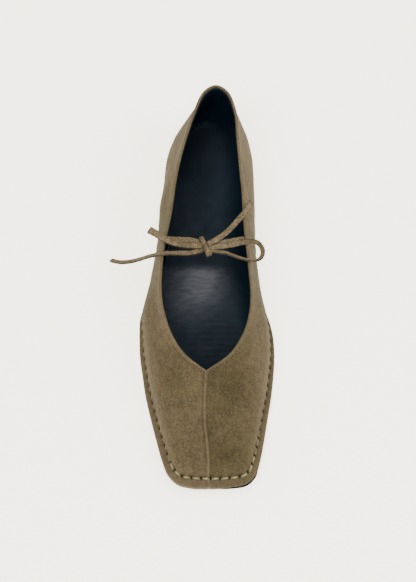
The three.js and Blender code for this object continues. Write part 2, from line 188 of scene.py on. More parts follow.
# %% Node helpers
class Finish:
    """A new material with its Principled shader and short ways to add nodes to it."""

    def __init__(self, name):
        self.material = bpy.data.materials.new(name)
        self.material.use_nodes = True
        self.nodes = self.material.node_tree.nodes
        self.links = self.material.node_tree.links
        self.shader = self.nodes["Principled BSDF"]
        self.place = self.nodes.new("ShaderNodeTexCoord").outputs["Object"]

    def put(self, target, value):
        """Link a socket, or set a plain value. A tuple is an opaque colour."""
        if isinstance(value, bpy.types.NodeSocket):
            self.links.new(value, target)
        else:
            target.default_value = (*value, 1) if isinstance(value, tuple) else value

    def math(self, operation, a, b=0.0):
        """One step of arithmetic on values or sockets."""
        node = self.nodes.new("ShaderNodeMath")
        node.operation = operation
        self.put(node.inputs[0], a)
        self.put(node.inputs[1], b)
        return node.outputs[0]

    def times(self, a, b):
        """The product of two."""
        return self.math("MULTIPLY", a, b)

    def noise(self, size_mm, detail=3.0, stretch=(1, 1, 1), rough=0.55, distort=0.0):
        """Noise of about size_mm to a blotch, in the piece's own place. stretch makes it
        longer."""
        scale = self.nodes.new("ShaderNodeMapping")
        self.put(scale.inputs["Vector"], self.place)
        scale.inputs["Scale"].default_value = [1 / (size_mm * MM * s) for s in stretch]
        node = self.nodes.new("ShaderNodeTexNoise")
        self.put(node.inputs["Vector"], scale.outputs[0])
        node.inputs["Scale"].default_value = 1.0
        node.inputs["Detail"].default_value = detail
        node.inputs["Roughness"].default_value = rough
        node.inputs["Distortion"].default_value = distort
        return node.outputs["Fac"]

    def cells(self, size_mm):
        """Distance to the nearest of many scattered points, about size_mm apart."""
        node = self.nodes.new("ShaderNodeTexVoronoi")
        self.put(node.inputs["Vector"], self.place)
        node.inputs["Scale"].default_value = 1 / (size_mm * MM)
        return node.outputs["Distance"]

    def stored(self, name):
        """The value that the mesh holds under this name."""
        node = self.nodes.new("ShaderNodeAttribute")
        node.attribute_name = name
        return node.outputs["Fac"]

    def band(self, value, low, high, out_low=0.0, out_high=1.0):
        """Map low..high to out_low..out_high, held at the ends."""
        node = self.nodes.new("ShaderNodeMapRange")
        node.interpolation_type = "SMOOTHSTEP"
        self.put(node.inputs["Value"], value)
        for key, number in zip(
                ("From Min", "From Max", "To Min", "To Max"), (low, high, out_low, out_high)):
            node.inputs[key].default_value = number
        return node.outputs["Result"]

    def mix(self, amount, first, second):
        """Colour from first to second as amount goes from 0 to 1."""
        node = self.nodes.new("ShaderNodeMix")
        node.data_type = "RGBA"
        for key, value in (("Factor", amount), ("A", first), ("B", second)):
            self.put(node.inputs[key], value)
        return node.outputs["Result"]

    def shade(self, amount, colour, tint):
        """Colour multiplied by tint as far as amount says, so that its texture stays."""
        result = self.mix(amount, colour, tint)
        result.node.blend_type = "MULTIPLY"
        return result

    def bump(self, height, depth_mm, strength, below=None):
        """Relief from a height of 0 to 1 that stands for depth_mm, on top of the relief below."""
        node = self.nodes.new("ShaderNodeBump")
        node.inputs["Strength"].default_value = strength
        node.inputs["Distance"].default_value = depth_mm * MM
        self.put(node.inputs["Height"], height)
        if below is not None:
            self.links.new(below, node.inputs["Normal"])
        return node.outputs["Normal"]

    def finish(self, colour, roughness, normal, **constants):
        """Join the looks to the shader. Constants go straight on its own sockets."""
        for key, value in (("Base Color", colour), ("Roughness", roughness), ("Normal", normal)):
            self.put(self.shader.inputs[key], value)
        for key, value in constants.items():
            self.shader.inputs[key.replace("_", " ")].default_value = value
        return self.material


def srgb(hex_code):
    """Linear colour from a screen colour such as 746449."""
    c = np.array([int(hex_code[i:i + 2], 16) for i in (0, 2, 4)]) / 255
    return tuple(np.where(c <= 0.04045, c / 12.92, ((c + 0.055) / 1.055) ** 2.4).tolist())

# %% [markdown]
# ## Suede
# Suede is leather sanded on its flesh side. It has no gloss, its nap lies in soft patches that are
# lighter or darker as they were last stroked, and the short fibres glow a little where the surface
# turns away. The patches are noises of three sizes, the glow is sheen, and the fibres are fine
# bump. Values stored on the meshes add painted shade in holes, grooves and along cut edges and
# over the right half of the vamp, and painted highlights on raised seams, pleats and folded edges.

# %% Suede finish
def suede(name, dark, light, worn_and_highlight, shading=True):
    """Nap patches from dark to light, fibres as fine bump. The mesh stores painted shade for holes,
    grooves and cut edges and, with shading, a darkening that is painted shade on the right half of
    the vamp and stroked suede in patches, and glow, a painted highlight on raised or folded places."""
    f = Finish(name)
    patches = f.noise(26, detail=2.0, stretch=(1, 1.4, 1), distort=0.5)
    strokes = f.noise(3.0, detail=3.0, stretch=(1, 1.5, 1), rough=0.6)
    fibres = f.noise(0.9, detail=3.0, rough=0.7)
    tone = f.math("ADD", f.times(patches, 0.16),
                  f.math("ADD", f.times(strokes, 0.26), f.times(fibres, 0.58)))
    colour = f.mix(f.band(tone, 0.4, 0.6), dark, light)
    specks = f.noise(1.1, detail=3.0, rough=0.7)
    deep, painted_shade_colour = (tuple(share * c for c in dark) for share in (0.6, 0.2))
    colour = f.mix(f.times(f.band(specks, 0.54, 0.7), 0.34), colour, worn_and_highlight)
    colour = f.mix(f.times(f.band(specks, 0.45, 0.32), 0.4), colour, deep)
    if shading:
        # Painted shade over the right half of the vamp, with patches stroked darker or lighter; then
        # painted highlights on raised and folded places, in the light speck colour.
        colour = f.shade(f.stored("nap_and_shade"), colour, (0.46, 0.53, 0.4))
        colour = f.mix(f.times(f.stored("glow"), 0.6), colour, worn_and_highlight)
    # Painted shade in holes, grooves and along cut edges, towards a near-black of the suede.
    colour = f.mix(f.stored("painted_shade"), colour, painted_shade_colour)
    nap_and_shade = f.bump(f.noise(0.32, detail=4.0, rough=0.75), 0.16, 0.55)
    nap_and_shade = f.bump(strokes, 0.5, 0.35, below=nap_and_shade)
    return f.finish(colour, f.band(fibres, 0.3, 0.7, 0.86, 1.0), nap_and_shade,
                    Specular_IOR_Level=0.1, Sheen_Weight=0.08, Sheen_Roughness=0.4,
                    Sheen_Tint=(0.8, 0.66, 0.46, 1))

upper_suede = suede("upper_suede", srgb("3d3425"), srgb("554934"), srgb("6b5f49"))
tie_suede = suede("tie_suede", srgb("423929"), srgb("6a5d47"), srgb("85795f"), shading=False)
print("suede:", len(upper_suede.node_tree.nodes), "nodes")

# %% [markdown]
# ## Lining and insole
# Inside, the shoe is lined with smooth navy leather, nearly black. It has a fine pebbled grain and
# a soft gloss from its finish. The lining's upper edge shows as a slightly lighter line. At the
# ball the insole carries faint cross creases that break the gloss. Further back it is glossier and
# painted paler there as a highlight, and beside the inner wall it is rougher and painted blackest
# as the wall's shadow.

# %% Leather finish
def lining_leather(name, dark, light, creased):
    """Navy leather: cells and noise for grain, and uneven gloss. Where creased, noise stretched
    sideways gives fine ripples that run across the shoe, and the mesh stores where it is glossier
    with a painted highlight, and where it is rougher with a painted shadow of the inner wall.
    Elsewhere it stores the lighter edge."""
    f = Finish(name)
    colour = f.mix(f.band(f.noise(24, detail=2.0), 0.35, 0.65), srgb(dark), srgb(light))
    grain = f.bump(f.cells(0.9), 0.08, 0.35)
    grain = f.bump(f.noise(0.6, detail=3.0), 0.1, 0.3, below=grain)
    roughness = f.band(f.noise(7, detail=3.0), 0.3, 0.7, 0.58, 0.7)
    if creased:
        wrinkles = f.noise(1.1, detail=3.0, stretch=(7, 1, 1), distort=0.6)
        # Painted highlight: the glossy patch is painted pale grey, broken up by the wrinkles.
        painted_highlight = f.times(f.stored("gloss_and_painted_highlight"), f.band(wrinkles, 0.35, 0.65, 0.72, 1.1))
        colour = f.mix(painted_highlight, colour, srgb("434448"))
        # Painted shadow of the inner wall: near-black beside it.
        colour = f.mix(f.stored("matte_and_painted_shadow"), colour, srgb("010d16"))
        ripples = f.noise(1.3, detail=2.0, stretch=(9, 1, 1), distort=0.8)
        grain = f.bump(f.times(ripples, f.stored("ball")), 0.45, 0.6, below=grain)
        roughness = f.math("SUBTRACT", roughness, f.times(f.stored("gloss_and_painted_highlight"), 0.25))
        roughness = f.math("ADD", roughness, f.times(f.stored("matte_and_painted_shadow"), 0.25))
    else:
        colour = f.mix(f.stored("edge"), colour, srgb("0d1d26"))
    return f.finish(colour, roughness, grain, Specular_IOR_Level=0.09)

lining_finish = lining_leather("lining_leather", "04121c", "081925", creased=False)
insole_finish = lining_leather("insole_leather", "09131a", "0e1920", creased=True)

# %% [markdown]
# ## Thread and sole
# The hand stitches are thick waxed thread, lighter than the suede, twisted from strands that show
# as slanting ridges. The sole is black rubber, matte, with a fine pebble on its underside.

# %% Thread and rubber finish
def thread(name, colour, dark):
    """Twisted strands: a wave over the stored place along and round the thread, as bump, and as
    colour, whose darker half is painted shade in the grooves between strands."""
    f = Finish(name)
    strand = f.band(f.math("SINE", f.stored("twist")), -1.0, 1.0)
    # The dark colour is painted shade in the grooves between the strands.
    return f.finish(f.mix(strand, dark, colour), 0.7, f.bump(strand, 0.16, 0.7),
                    Specular_IOR_Level=0.12, Sheen_Weight=0.1)


def rubber(name):
    """Near-black rubber with a faint dusty bloom and a pebbled bump."""
    f = Finish(name)
    colour = f.mix(f.band(f.noise(9, detail=4.0), 0.4, 0.7), srgb("100f12"), srgb("1b1a1d"))
    roughness = f.band(f.noise(3, detail=3.0), 0.3, 0.7, 0.65, 0.8)
    return f.finish(colour, roughness, f.bump(f.cells(1.1), 0.12, 0.4), Specular_IOR_Level=0.0)

seam_thread = thread("seam_thread", srgb("8b845e"), srgb("686142"))
fine_thread = thread("fine_thread", srgb("5c523b"), srgb("453c29"))
sole_rubber = rubber("sole_rubber")

# %% [markdown]
# ## The rib table
# One row is one rib of the upper, from its foot on the sole's outline to its head on the centre
# seam or the collar, as in the solids. Lengths are shares of the named sizes. Between rows every
# column is a smooth cubic, and at toe and heel the far side's row is the neighbour.

# %% Sizes and rib table
LENGTH, BALL_WIDTH, HEEL_WIDTH = 250, 84, 54
INSTEP_HEIGHT, BACK_HEIGHT = 37, 52
WALL, FLANGE_WIDTH, FLANGE_THICKNESS = 2, 6.4, 1.8
SOLE_THICKNESS, HEEL_HEIGHT, HEEL_BREAST, TOE_SPRING = 4, 6, 58, 6.4
INSOLE_THICKNESS, CLEARANCE = 2, 0.3
HEEL_CENTRE, ARCH, TREAD_END, SPRING_CURVE, WAIST = 0.12, (0.16, 0.6), 0.74, 1.6, (0.3, 0.62)

THROAT, FLANGE_END = 7, 11  # rows at the throat's point, and where the turned edge has narrowed
COLUMNS = ("along mid half flange topAlong topMid topHalf instep back lift swell reach lean drop"
           .split())
RIBS = np.array([
    [1.0, 0.019, 0.0, 1.0, 0.905, -0.004, 0.0, 0.53, 0.0, 0.8, 0.008, 0.62, 0.0, 0.02],
    [0.9985, 0.021, 0.146, 1.0, 0.9, -0.005, 0.0, 0.55, 0.0, 0.8, 0.008, 0.62, 0.0, 0.03],
    [0.988, 0.03, 0.257, 0.93, 0.893, -0.007, 0.0, 0.57, 0.0, 0.8, 0.008, 0.6, 0.0, 0.05],
    [0.966, 0.028, 0.317, 0.83, 0.884, -0.01, 0.0, 0.59, 0.0, 0.78, 0.011, 0.58, 0.0, 0.06],
    [0.93, 0.023, 0.355, 0.78, 0.868, -0.014, 0.0, 0.64, 0.0, 0.76, 0.017, 0.56, 0.0, 0.07],
    [0.88, 0.017, 0.391, 0.73, 0.842, -0.019, 0.0, 0.72, 0.0, 0.76, 0.024, 0.55, 0.0, 0.08],
    [0.82, 0.009, 0.429, 0.685, 0.8, -0.022, 0.0, 0.84, 0.0, 0.74, 0.029, 0.53, 0.0, 0.1],
    [0.755, 0.003, 0.467, 0.63, 0.744, -0.014, 0.0, 1.0, 0.0, 0.72, 0.033, 0.5, 0.0, 0.12],
    [0.705, 0.0, 0.487, 0.59, 0.702, -0.006, 0.167, 1.0, 0.0, 0.68, 0.028, 0.42, 0.0, 0.2],
    [0.655, -0.006, 0.502, 0.555, 0.652, -0.005, 0.267, 1.0, 0.01, 0.6, 0.025, 0.25, 0.003, 0.3],
    [0.6, -0.014, 0.503, 0.49, 0.598, -0.007, 0.322, 1.0, 0.02, 0.5, 0.025, 0.1, 0.012, 0.34],
    [0.55, -0.03, 0.5, 0.3, 0.548, -0.014, 0.356, 0.8, 0.163, 0.42, 0.035, 0.02, 0.026, 0.34],
    [0.49, -0.033, 0.468, 0.05, 0.49, -0.022, 0.383, 0.55, 0.35, 0.38, 0.056, 0.0, 0.042, 0.34],
    [0.41, -0.018, 0.464, 0.05, 0.41, -0.024, 0.416, 0.3, 0.535, 0.36, 0.115, 0.0, 0.067, 0.34],
    [0.31, -0.014, 0.5, 0.05, 0.31, -0.002, 0.419, 0.1, 0.72, 0.36, 0.156, 0.0, 0.084, 0.34],
    [0.22, 0.004, 0.503, 0.05, 0.222, 0.013, 0.371, 0.0, 0.86, 0.36, 0.125, 0.0, 0.06, 0.34],
    [0.14, 0.018, 0.492, 0.05, 0.15, 0.042, 0.314, 0.0, 0.915, 0.36, 0.096, 0.0, 0.044, 0.34],
    [0.07, 0.032, 0.416, 0.05, 0.083, 0.08, 0.25, 0.0, 0.963, 0.36, 0.048, 0.0, 0.018, 0.34],
    [0.02, 0.048, 0.255, 0.05, 0.031, 0.09, 0.152, 0.0, 0.99, 0.36, 0.032, 0.0, 0.013, 0.34],
    [0.0, 0.052, 0.0, 0.05, 0.011, 0.091, 0.0, 0.0, 1.0, 0.36, 0.036, 0.0, 0.012, 0.34],
])
print("ribs:", RIBS.shape)

# %% Outline, sole profile and smooth columns
def width_at(along):
    """Width that the shares across refer to: the heel's, passing into the ball's over the
    waist."""
    return HEEL_WIDTH + (BALL_WIDTH - HEEL_WIDTH) * smoothstep(along, *WAIST)


def underside(y):
    """Height of the sole's underside: down over the arch, flat at the tread, up at the toe."""
    along = HEEL_CENTRE - y / LENGTH
    spring = np.clip((along - TREAD_END) / (1 - TREAD_END), 0, None)
    return HEEL_HEIGHT * (1 - smoothstep(along, *ARCH)) + TOE_SPRING * spring ** SPRING_CURVE


def seat(y):
    """Height at which pieces lie on the sole."""
    return underside(y) + SOLE_THICKNESS + CLEARANCE


def foot(rows, side):
    """Plan point of each rib's foot: middle plus or minus half the width."""
    along = rows[:, 0]
    x = (rows[:, 1] + side * rows[:, 2]) * width_at(along)
    return np.stack([x, (HEEL_CENTRE - along) * LENGTH], axis=1)


chords = [np.linalg.norm(np.diff(foot(RIBS, side), axis=0), axis=1) for side in (1, -1)]
KNOTS = np.r_[0, np.cumsum(np.mean(chords, axis=0))]


def column_curve(name, first=0, last=len(RIBS) - 1, mirror_start=True, mirror_end=True):
    """Cubic through one column. A slope is the mean of the rises on both sides, each weighted by
    the other's distance."""
    sign = -1 if name in ("half", "topHalf") else 1
    x, y = KNOTS[first:last + 1], RIBS[first:last + 1, COLUMNS.index(name)]
    if mirror_start:
        x, y = np.r_[2 * x[0] - x[1], x], np.r_[sign * y[1], y]
    if mirror_end:
        x, y = np.r_[x, 2 * x[-1] - x[-2]], np.r_[y, sign * y[-2]]
    step, rise = np.diff(x), np.diff(y) / np.diff(x)
    middle = (rise[:-1] * step[1:] + rise[1:] * step[:-1]) / (step[:-1] + step[1:])
    slope = np.r_[rise[0], middle, rise[-1]]

    def curve(q):
        """The column's value at distances q along the outline."""
        i = np.clip(np.searchsorted(x, q, side="right") - 1, 0, len(x) - 2)
        t = (q - x[i]) / step[i]
        return ((1 + 2 * t) * (1 - t) ** 2 * y[i] + t * (1 - t) ** 2 * step[i] * slope[i]
                + t * t * (3 - 2 * t) * y[i + 1] + t * t * (t - 1) * step[i] * slope[i + 1])
    return curve


def rib_values(q):
    """All columns at distances q along the outline. The head's columns turn a corner at the
    throat."""
    found = {}
    for name in COLUMNS:
        if name in ("topAlong", "topMid", "topHalf", "instep", "back"):
            front = column_curve(name, 0, THROAT, False, False)
            rear = column_curve(name, THROAT, len(RIBS) - 1, False, True)
            found[name] = np.where(q <= KNOTS[THROAT], front(q), rear(q))
        else:
            found[name] = column_curve(name)(q)
    return found

print("outline of one side, mm:", round(float(KNOTS[-1])))

# %% [markdown]
# ## A ring of ribs
# The ring runs from the toe along the big-toe side to the heel and back along the little-toe side.
# Each rib is a Bezier curve: it climbs from the stitch line, bulges out, and turns over to the
# head.

# %% Ring of ribs
def ring_of_ribs(front_step, rear_step, seam_step, seam_zone=4.0):
    """Stations along the outline, closer beside the seams at toe and heel, mirrored into a ring.
    Gives each rib's foot, outward direction, head, flange width and shape values."""
    def spread(low, high, step):
        """Even stations from low up to just before high."""
        return np.linspace(low, high, int(np.ceil((high - low) / step)) + 1)[:-1]
    throat, flange_end, back, end = KNOTS[THROAT], KNOTS[FLANGE_END], KNOTS[-1] - 3, KNOTS[-1]
    q = np.r_[spread(0, seam_zone, seam_step), spread(seam_zone, throat, front_step),
              spread(throat, flange_end, front_step), spread(flange_end, back, rear_step),
              spread(back, end, seam_step), end]
    half = len(q) - 1
    station = np.r_[np.arange(half + 1), np.arange(half - 1, 0, -1)]
    side = np.where(np.arange(2 * half) <= half, 1, -1)
    r = {key: value[station] for key, value in rib_values(q).items()}
    rows = np.stack([r["along"], r["mid"], r["half"]], axis=1)
    r["edge"] = foot(rows, side)
    along = unit(np.roll(r["edge"], -1, axis=0) - np.roll(r["edge"], 1, axis=0))
    r["out"] = np.stack([along[:, 1], -along[:, 0]], axis=1)
    top_y = (HEEL_CENTRE - r["topAlong"]) * LENGTH
    top_x = (r["topMid"] + side * r["topHalf"]) * width_at(r["topAlong"])
    rise = r["instep"] * INSTEP_HEIGHT + r["back"] * BACK_HEIGHT
    r["head"] = np.stack([top_x, top_y, seat(top_y) + rise], axis=1)
    r["half_ring"], r["station"], r["side"], r["q"] = half, station, side, q[station]
    r["on_seam"] = r["q"] <= throat + 1e-9
    r["seam_heads"] = r["head"][: half + 1][r["on_seam"][: half + 1]]
    r["wide"], r["size"] = r["flange"] * FLANGE_WIDTH, width_at(r["along"])
    return r


def inset(r, distance):
    """Plan points inside the outline by a distance, at each rib."""
    return r["edge"] - r["out"] * np.broadcast_to(distance, r["side"].shape)[:, None]


def with_height(plan, z):
    """Plan points with a height added."""
    return np.concatenate([plan, np.broadcast_to(z, plan.shape[:-1])[..., None]], axis=-1)


def wall_grid(r, v):
    """Points of the plain outer wall at shares v along every rib: a cubic Bezier with its handles
    straight up and out from the foot, and level, outward and down from the head."""
    base = inset(r, r["wide"])
    start = with_height(base, seat(base[:, 1]) + FLANGE_THICKNESS)
    out = with_height(r["out"], 0.0)
    rise = (r["head"] - start)[:, 2]
    climb = out * (r["swell"] * r["size"])[:, None]
    climb[:, 2] = r["lift"] * rise
    level = (start - r["head"]) * r["reach"][:, None]
    level[:, 2] = -r["drop"] * rise
    over = level + out * (r["lean"] * r["size"])[:, None]
    points = [start, start + climb, r["head"] + over, r["head"]]
    v = v[None, :, None]
    weights = [(1 - v) ** 3, 3 * v * (1 - v) ** 2, 3 * v * v * (1 - v), v ** 3]
    return sum(w * p[:, None] for w, p in zip(weights, points))


def wall_normals(r, grid):
    """Outward normals: the cross product of the steps round the ring and up the rib. On the seam
    they are square to the seam's own slope, so that both sides agree."""
    around = np.roll(grid, -1, axis=0) - np.roll(grid, 1, axis=0)
    up = np.gradient(grid, axis=1)
    normal = np.cross(around, up)
    slope = np.gradient(r["seam_heads"], axis=0)
    upright = np.stack([0 * slope[:, 0], slope[:, 2], -slope[:, 1]], axis=1)
    upright *= np.sign(upright[:, 2:])
    seam = np.where(r["on_seam"])[0]
    normal[seam, -1] = upright[r["station"][seam]]
    return normal / np.maximum(np.linalg.norm(normal, axis=-1, keepdims=True), 1e-12)

upper_ring = ring_of_ribs(front_step=0.8, rear_step=1.3, seam_step=0.3)
print("ribs in the fine ring:", len(upper_ring["side"]))

# %% [markdown]
# ## The tie
# A flat suede strip comes out of the collar's seam on each side, and a half bow holds them
# together: a knot, two loops and two ends. The routes are those of the solids. A strip is a flat
# rounded section carried along a smooth curve.

# %% Sizes and places of the tie
TIE_WIDTH, TIE_THICKNESS = 3.6, 1.3
SECTION, STEP = 18, 0.7  # points round a strip, and mm between its sections
TIE_PLACE, TIE_ASIDE, STRAP_DEPTH, STRAP_SAG = 0.403, 0.6, 1, 1.2
KNOT_SIZE, KNOT_SHIFT, KNOT_TURN = np.array([14.2, 5.4, 5.8]), np.array([-1, -5.7, 0.4]), 114


def collar_at(along):
    """Both collar points at a place along the sole: between two ribs of the fine ring, by
    halving."""
    low, high = KNOTS[THROAT], KNOTS[-1]
    for _ in range(40):
        q = (low + high) / 2
        low, high = (q, high) if rib_values(np.array([q]))["topAlong"][0] > along else (low, q)
    r = {key: value[0] for key, value in rib_values(np.array([low])).items()}
    y = (HEEL_CENTRE - r["topAlong"]) * LENGTH
    z = seat(y) + r["instep"] * INSTEP_HEIGHT + r["back"] * BACK_HEIGHT
    return [np.array([(r["topMid"] + s * r["topHalf"]) * width_at(r["topAlong"]), y, z])
            for s in (1, -1)]

collar_in, collar_out = collar_at(TIE_PLACE)
tie_centre = (collar_in + collar_out) / 2 + [TIE_ASIDE, 0, 0]

LOOP_LEFT = [
    [-5.0, -5.6, -0.5], [-10.0, -5.3, 0.0], [-16.1, -4.8, 0.5], [-22.3, -3.3, 1.2],
    [-25.7, -1.6, 1.6], [-29.7, 1.3, 1.3], [-33.8, 4.3, 0.2], [-35.6, 5.4, 0.4],
    [-34.0, 4.1, 1.5], [-29.7, 0.9, 3.1], [-25.6, -2.1, 3.7], [-19.8, -4.4, 3.0],
    [-12.4, -5.5, 2.2], [-4.9, -5.8, 1.9]]
LOOP_RIGHT = [
    [2.8, -6.1, -0.1, 0], [8.5, -5.7, 0.2, 0], [14.7, -4.8, 0.6, 5], [19.0, -3.9, 1.2, 25],
    [23.0, -3.5, 2.2, 50], [27.0, -3.1, 2.3, 65], [30.4, -3.1, 1.5, 72], [33.2, -4.8, 0.0, 75],
    [34.6, -7.9, -0.8, 78], [34.4, -10.7, -1.2, 78], [32.8, -13.3, -1.2, 76],
    [29.7, -14.9, 0.1, 74], [25.7, -14.9, 1.0, 70], [20.8, -13.6, 0.9, 66],
    [15.9, -11.6, 0.4, 62], [11.6, -9.7, 0.0, 58], [7.3, -9.1, 0.0, 50], [3.3, -9.4, 0.1, 40]]
END_LEFT = [
    [-3.4, -9.5, -0.1, 8], [-10.0, -9.8, -0.1, 12], [-16.1, -10.1, 0.3, 18],
    [-22.2, -10.4, 1.0, 27], [-26.5, -10.8, 1.5, 33], [-30.9, -11.3, 0.7, 35],
    [-35.9, -11.4, -2.0, 34], [-40.9, -12.2, -4.2, 33], [-46.5, -12.6, -6.9, 33],
    [-52.3, -12.1, -9.6, 36], [-56.7, -10.7, -11.6, 38], [-59.6, -9.2, -13.0, 42]]
END_RIGHT = [  # it comes out from below the band
    [1.5, -4.0, 1.4, 15], [4.8, -2.5, 1.9, 20], [9.8, 1.0, 2.1, 26], [14.7, 5.8, 1.9, 30],
    [19.7, 11.3, 3.1, 30], [23.4, 15.3, 4.7, 30], [26.1, 19.3, 5.7, 34], [27.7, 22.5, 5.9, 36]]
print("tie's centre, mm:", np.round(tie_centre, 1))

# %% Strips along a route
def with_roll(route):
    """A route as rows of x, y, z and roll. The roll, in degrees, is 0 where it isn't given."""
    return np.array([list(point) + [0] * (4 - len(point)) for point in route], dtype=float)


def smooth_route(p, spacing):
    """Even steps along a centripetal Catmull-Rom curve through the rows p of places and roll."""
    p = np.vstack([2 * p[0] - p[1], p, 2 * p[-1] - p[-2]])
    t = np.r_[0, np.cumsum(np.linalg.norm(np.diff(p[:, :3], axis=0), axis=1) ** 0.5)]
    fine = []
    for i in range(1, len(p) - 2):
        s = np.linspace(t[i], t[i + 1], 40, endpoint=i == len(p) - 3)[:, None]
        def between(a, b, first, second):
            return ((t[b] - s) * first + (s - t[a]) * second) / (t[b] - t[a])
        a = [between(j, j + 1, p[j], p[j + 1]) for j in (i - 1, i, i + 1)]
        b = [between(i - 1, i + 1, a[0], a[1]), between(i, i + 2, a[1], a[2])]
        fine.append(between(i, i + 1, b[0], b[1]))
    fine = np.vstack(fine)
    run = run_along(fine[:, :3])
    return at_places(np.linspace(0, run[-1], int(np.ceil(run[-1] / spacing)) + 1), run, fine)


def strip_frames(path):
    """Unit directions along, across and up for a strip. Across starts level and is carried along
    the curve with the least turn, and then rolled."""
    points, roll = path[:, :3], np.radians(path[:, 3])
    along = unit(np.gradient(points, axis=0))
    across = np.cross([0, 0, 1], along[0])
    carried = []
    for direction in along:
        across = unit(across - across.dot(direction) * direction)
        carried.append(across)
    carried = np.array(carried)
    up = np.cross(along, carried)
    across = carried * np.cos(roll)[:, None] + up * np.sin(roll)[:, None]
    return along, across, np.cross(along, across)


def strip(name, route, seed, widths=(1, 1, 1)):
    """A flat strip of suede: a superellipse section carried along the route, its width following
    widths from end to end and uneven by a few per cent, its ends slightly rounded cuts. Its cut
    edges and ends store painted shade."""
    path = smooth_route(with_roll(route), STEP)
    along, across, up = strip_frames(path)
    steps = len(path)
    c, s = np.cos(turns(SECTION)), np.sin(turns(SECTION))
    x = rounded(c, 0.45) * TIE_WIDTH / 2
    z = rounded(s, 0.6) * TIE_THICKNESS / 2
    swell = 1 + 0.05 * (cloud(path[:, :3], 9.0, seed) + cloud(path[:, :3], 3.7, seed + 2))
    swell *= np.interp(np.linspace(0, 1, steps), np.linspace(0, 1, len(widths)), widths)
    swell[[0, -1]] *= 0.86
    from_middle = np.abs(x) / (TIE_WIDTH / 2)
    cup = 0.12 * from_middle ** 2 - 0.05
    rings = (path[:, None, :3] + across[:, None] * (x * swell[:, None])[..., None]
             + up[:, None] * (z + cup)[None, :, None])
    tips = path[[0, -1], :3] + along[[0, -1]] * np.array([[-0.15], [0.15]])
    k, tip = np.arange(SECTION), steps * SECTION
    sides = np.stack([k, (k + 1) % SECTION], axis=1)
    caps = np.vstack([np.insert(sides, 2, tip, axis=1),
                      np.insert(sides[:, ::-1] + tip - SECTION, 2, tip + 1, axis=1)])
    faces = loop_faces(steps, SECTION, ring=False).tolist() + caps.tolist()
    # Painted shade along the cut edges and on the end caps.
    painted_shade = np.r_[np.tile(0.75 * from_middle ** 8, steps), 0.3, 0.3]
    points = np.vstack([rings.reshape(-1, 3), tips])
    piece = new_mesh(name, points, faces, tie_suede, {"painted_shade": painted_shade})
    return piece, path[:, :3] * MM

# %% Straps from the collar to the knot
def into_knot(route, first=False, last=False, depth=2.2):
    """Draw a route's end points towards the knot's middle, so that the strip ends inside its
    core."""
    for index, wanted in ((0, first), (-1, last)):
        if wanted:
            inward = tie_centre + KNOT_SHIFT - route[index, :3]
            inward[2] *= 0.3
            route[index, :3] += unit(inward) * depth
    return route


def strap_route(collar, side, inward, aside):
    """From under the collar's edge, sagging a little on its way to the knot's side. Its first
    point is drawn into the lining."""
    start = collar - np.array([side * (WALL + 1.5 * CLEARANCE), 0, STRAP_DEPTH])
    end = tie_centre + [KNOT_SHIFT[0] + side * (KNOT_SIZE[1] / 2 - inward), aside, 0]
    t = np.array([0, 0.35, 0.7, 1.0])
    points = start + (end - start) * t[:, None]
    points[:, 2] = start[2] - STRAP_SAG * (1 - (1 - t) ** 2)
    tucked = points[0] + [side * 0.75, 0, 0]
    return into_knot(np.vstack([tucked, points[1:]]), last=True)

for name, route, seed in (("tie_strap_left", strap_route(collar_out, -1, 0.1, -0.7), 1.0),
                          ("tie_strap_right", strap_route(collar_in, 1, 0.9, -3.6), 2.0)):
    strap, _ = strip(name + "_suede", route, seed)
    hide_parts(name)
print("straps laid")

# %% Knot: a core with the band that is wrapped over it
BAND_STEPS, CORE_ROWS, CORE_STEPS = 56, 25, 40
TURN = np.radians(KNOT_TURN)
KNOT_AXES = np.array([[np.cos(TURN), np.sin(TURN), 0],
                      [-np.sin(TURN), np.cos(TURN), 0], [0, 0, 1]])


def knot_band():
    """A strip closed round the knot's core, in the upright plane of the wrap: an ellipse a little
    flat over the top, so that the band reads as a strip and not as a bead. It has a groove along
    its middle, and is wider where it comes round the lower end."""
    wrap, side, upright = KNOT_AXES
    a = turns(BAND_STEPS)
    half_long, half_high = KNOT_SIZE[0] / 2 - 0.6, KNOT_SIZE[2] / 2 - 0.45
    line = rounded(np.cos(a), 0.85)[:, None] * wrap * half_long
    line[:, 2] += rounded(np.sin(a), 0.8) * half_high
    away = unit(np.stack([np.cos(a) / half_long, np.sin(a) / half_high], axis=1))
    up = away[:, :1] * wrap + away[:, 1:] * upright
    half_width = 1.45 + 0.5 * smoothstep(-np.cos(a), 0.3, 1.0) + 0.06 * np.sin(3 * a)
    b = turns(SECTION)
    x, z = rounded(np.cos(b), 0.5), rounded(np.sin(b), 0.6) * 0.55
    points = (line[:, None] + side * (x * half_width[:, None])[..., None]
              + up[:, None] * (z - 0.3 * np.abs(x) ** 3 - 0.42 * hump(x, 0.1, 0.3))[None, :, None])
    # Painted shade along the band's edges and in its middle groove.
    painted_shade = (0.6 * np.abs(x) ** 8 + 0.3 * hump(x, 0.1, 0.25)) * np.ones((BAND_STEPS, 1))
    return points + tie_centre + KNOT_SHIFT, painted_shade


def knot_core():
    """The turns under the band: an egg with two soft grooves along it."""
    lat, lon = np.meshgrid(np.linspace(-np.pi / 2, np.pi / 2, CORE_ROWS), turns(CORE_STEPS),
                           indexing="ij")
    p = np.stack([np.cos(lat) * np.cos(lon), np.cos(lat) * np.sin(lon), np.sin(lat)], axis=-1)
    groove = 1 - 0.09 * hump(p[..., 1], 0.35, 0.16) - 0.09 * hump(p[..., 1], -0.4, 0.16)
    p = p * groove[..., None] * (KNOT_SIZE / 2 - [1.5, 0.55, 1.2])
    return p @ KNOT_AXES + tie_centre + KNOT_SHIFT

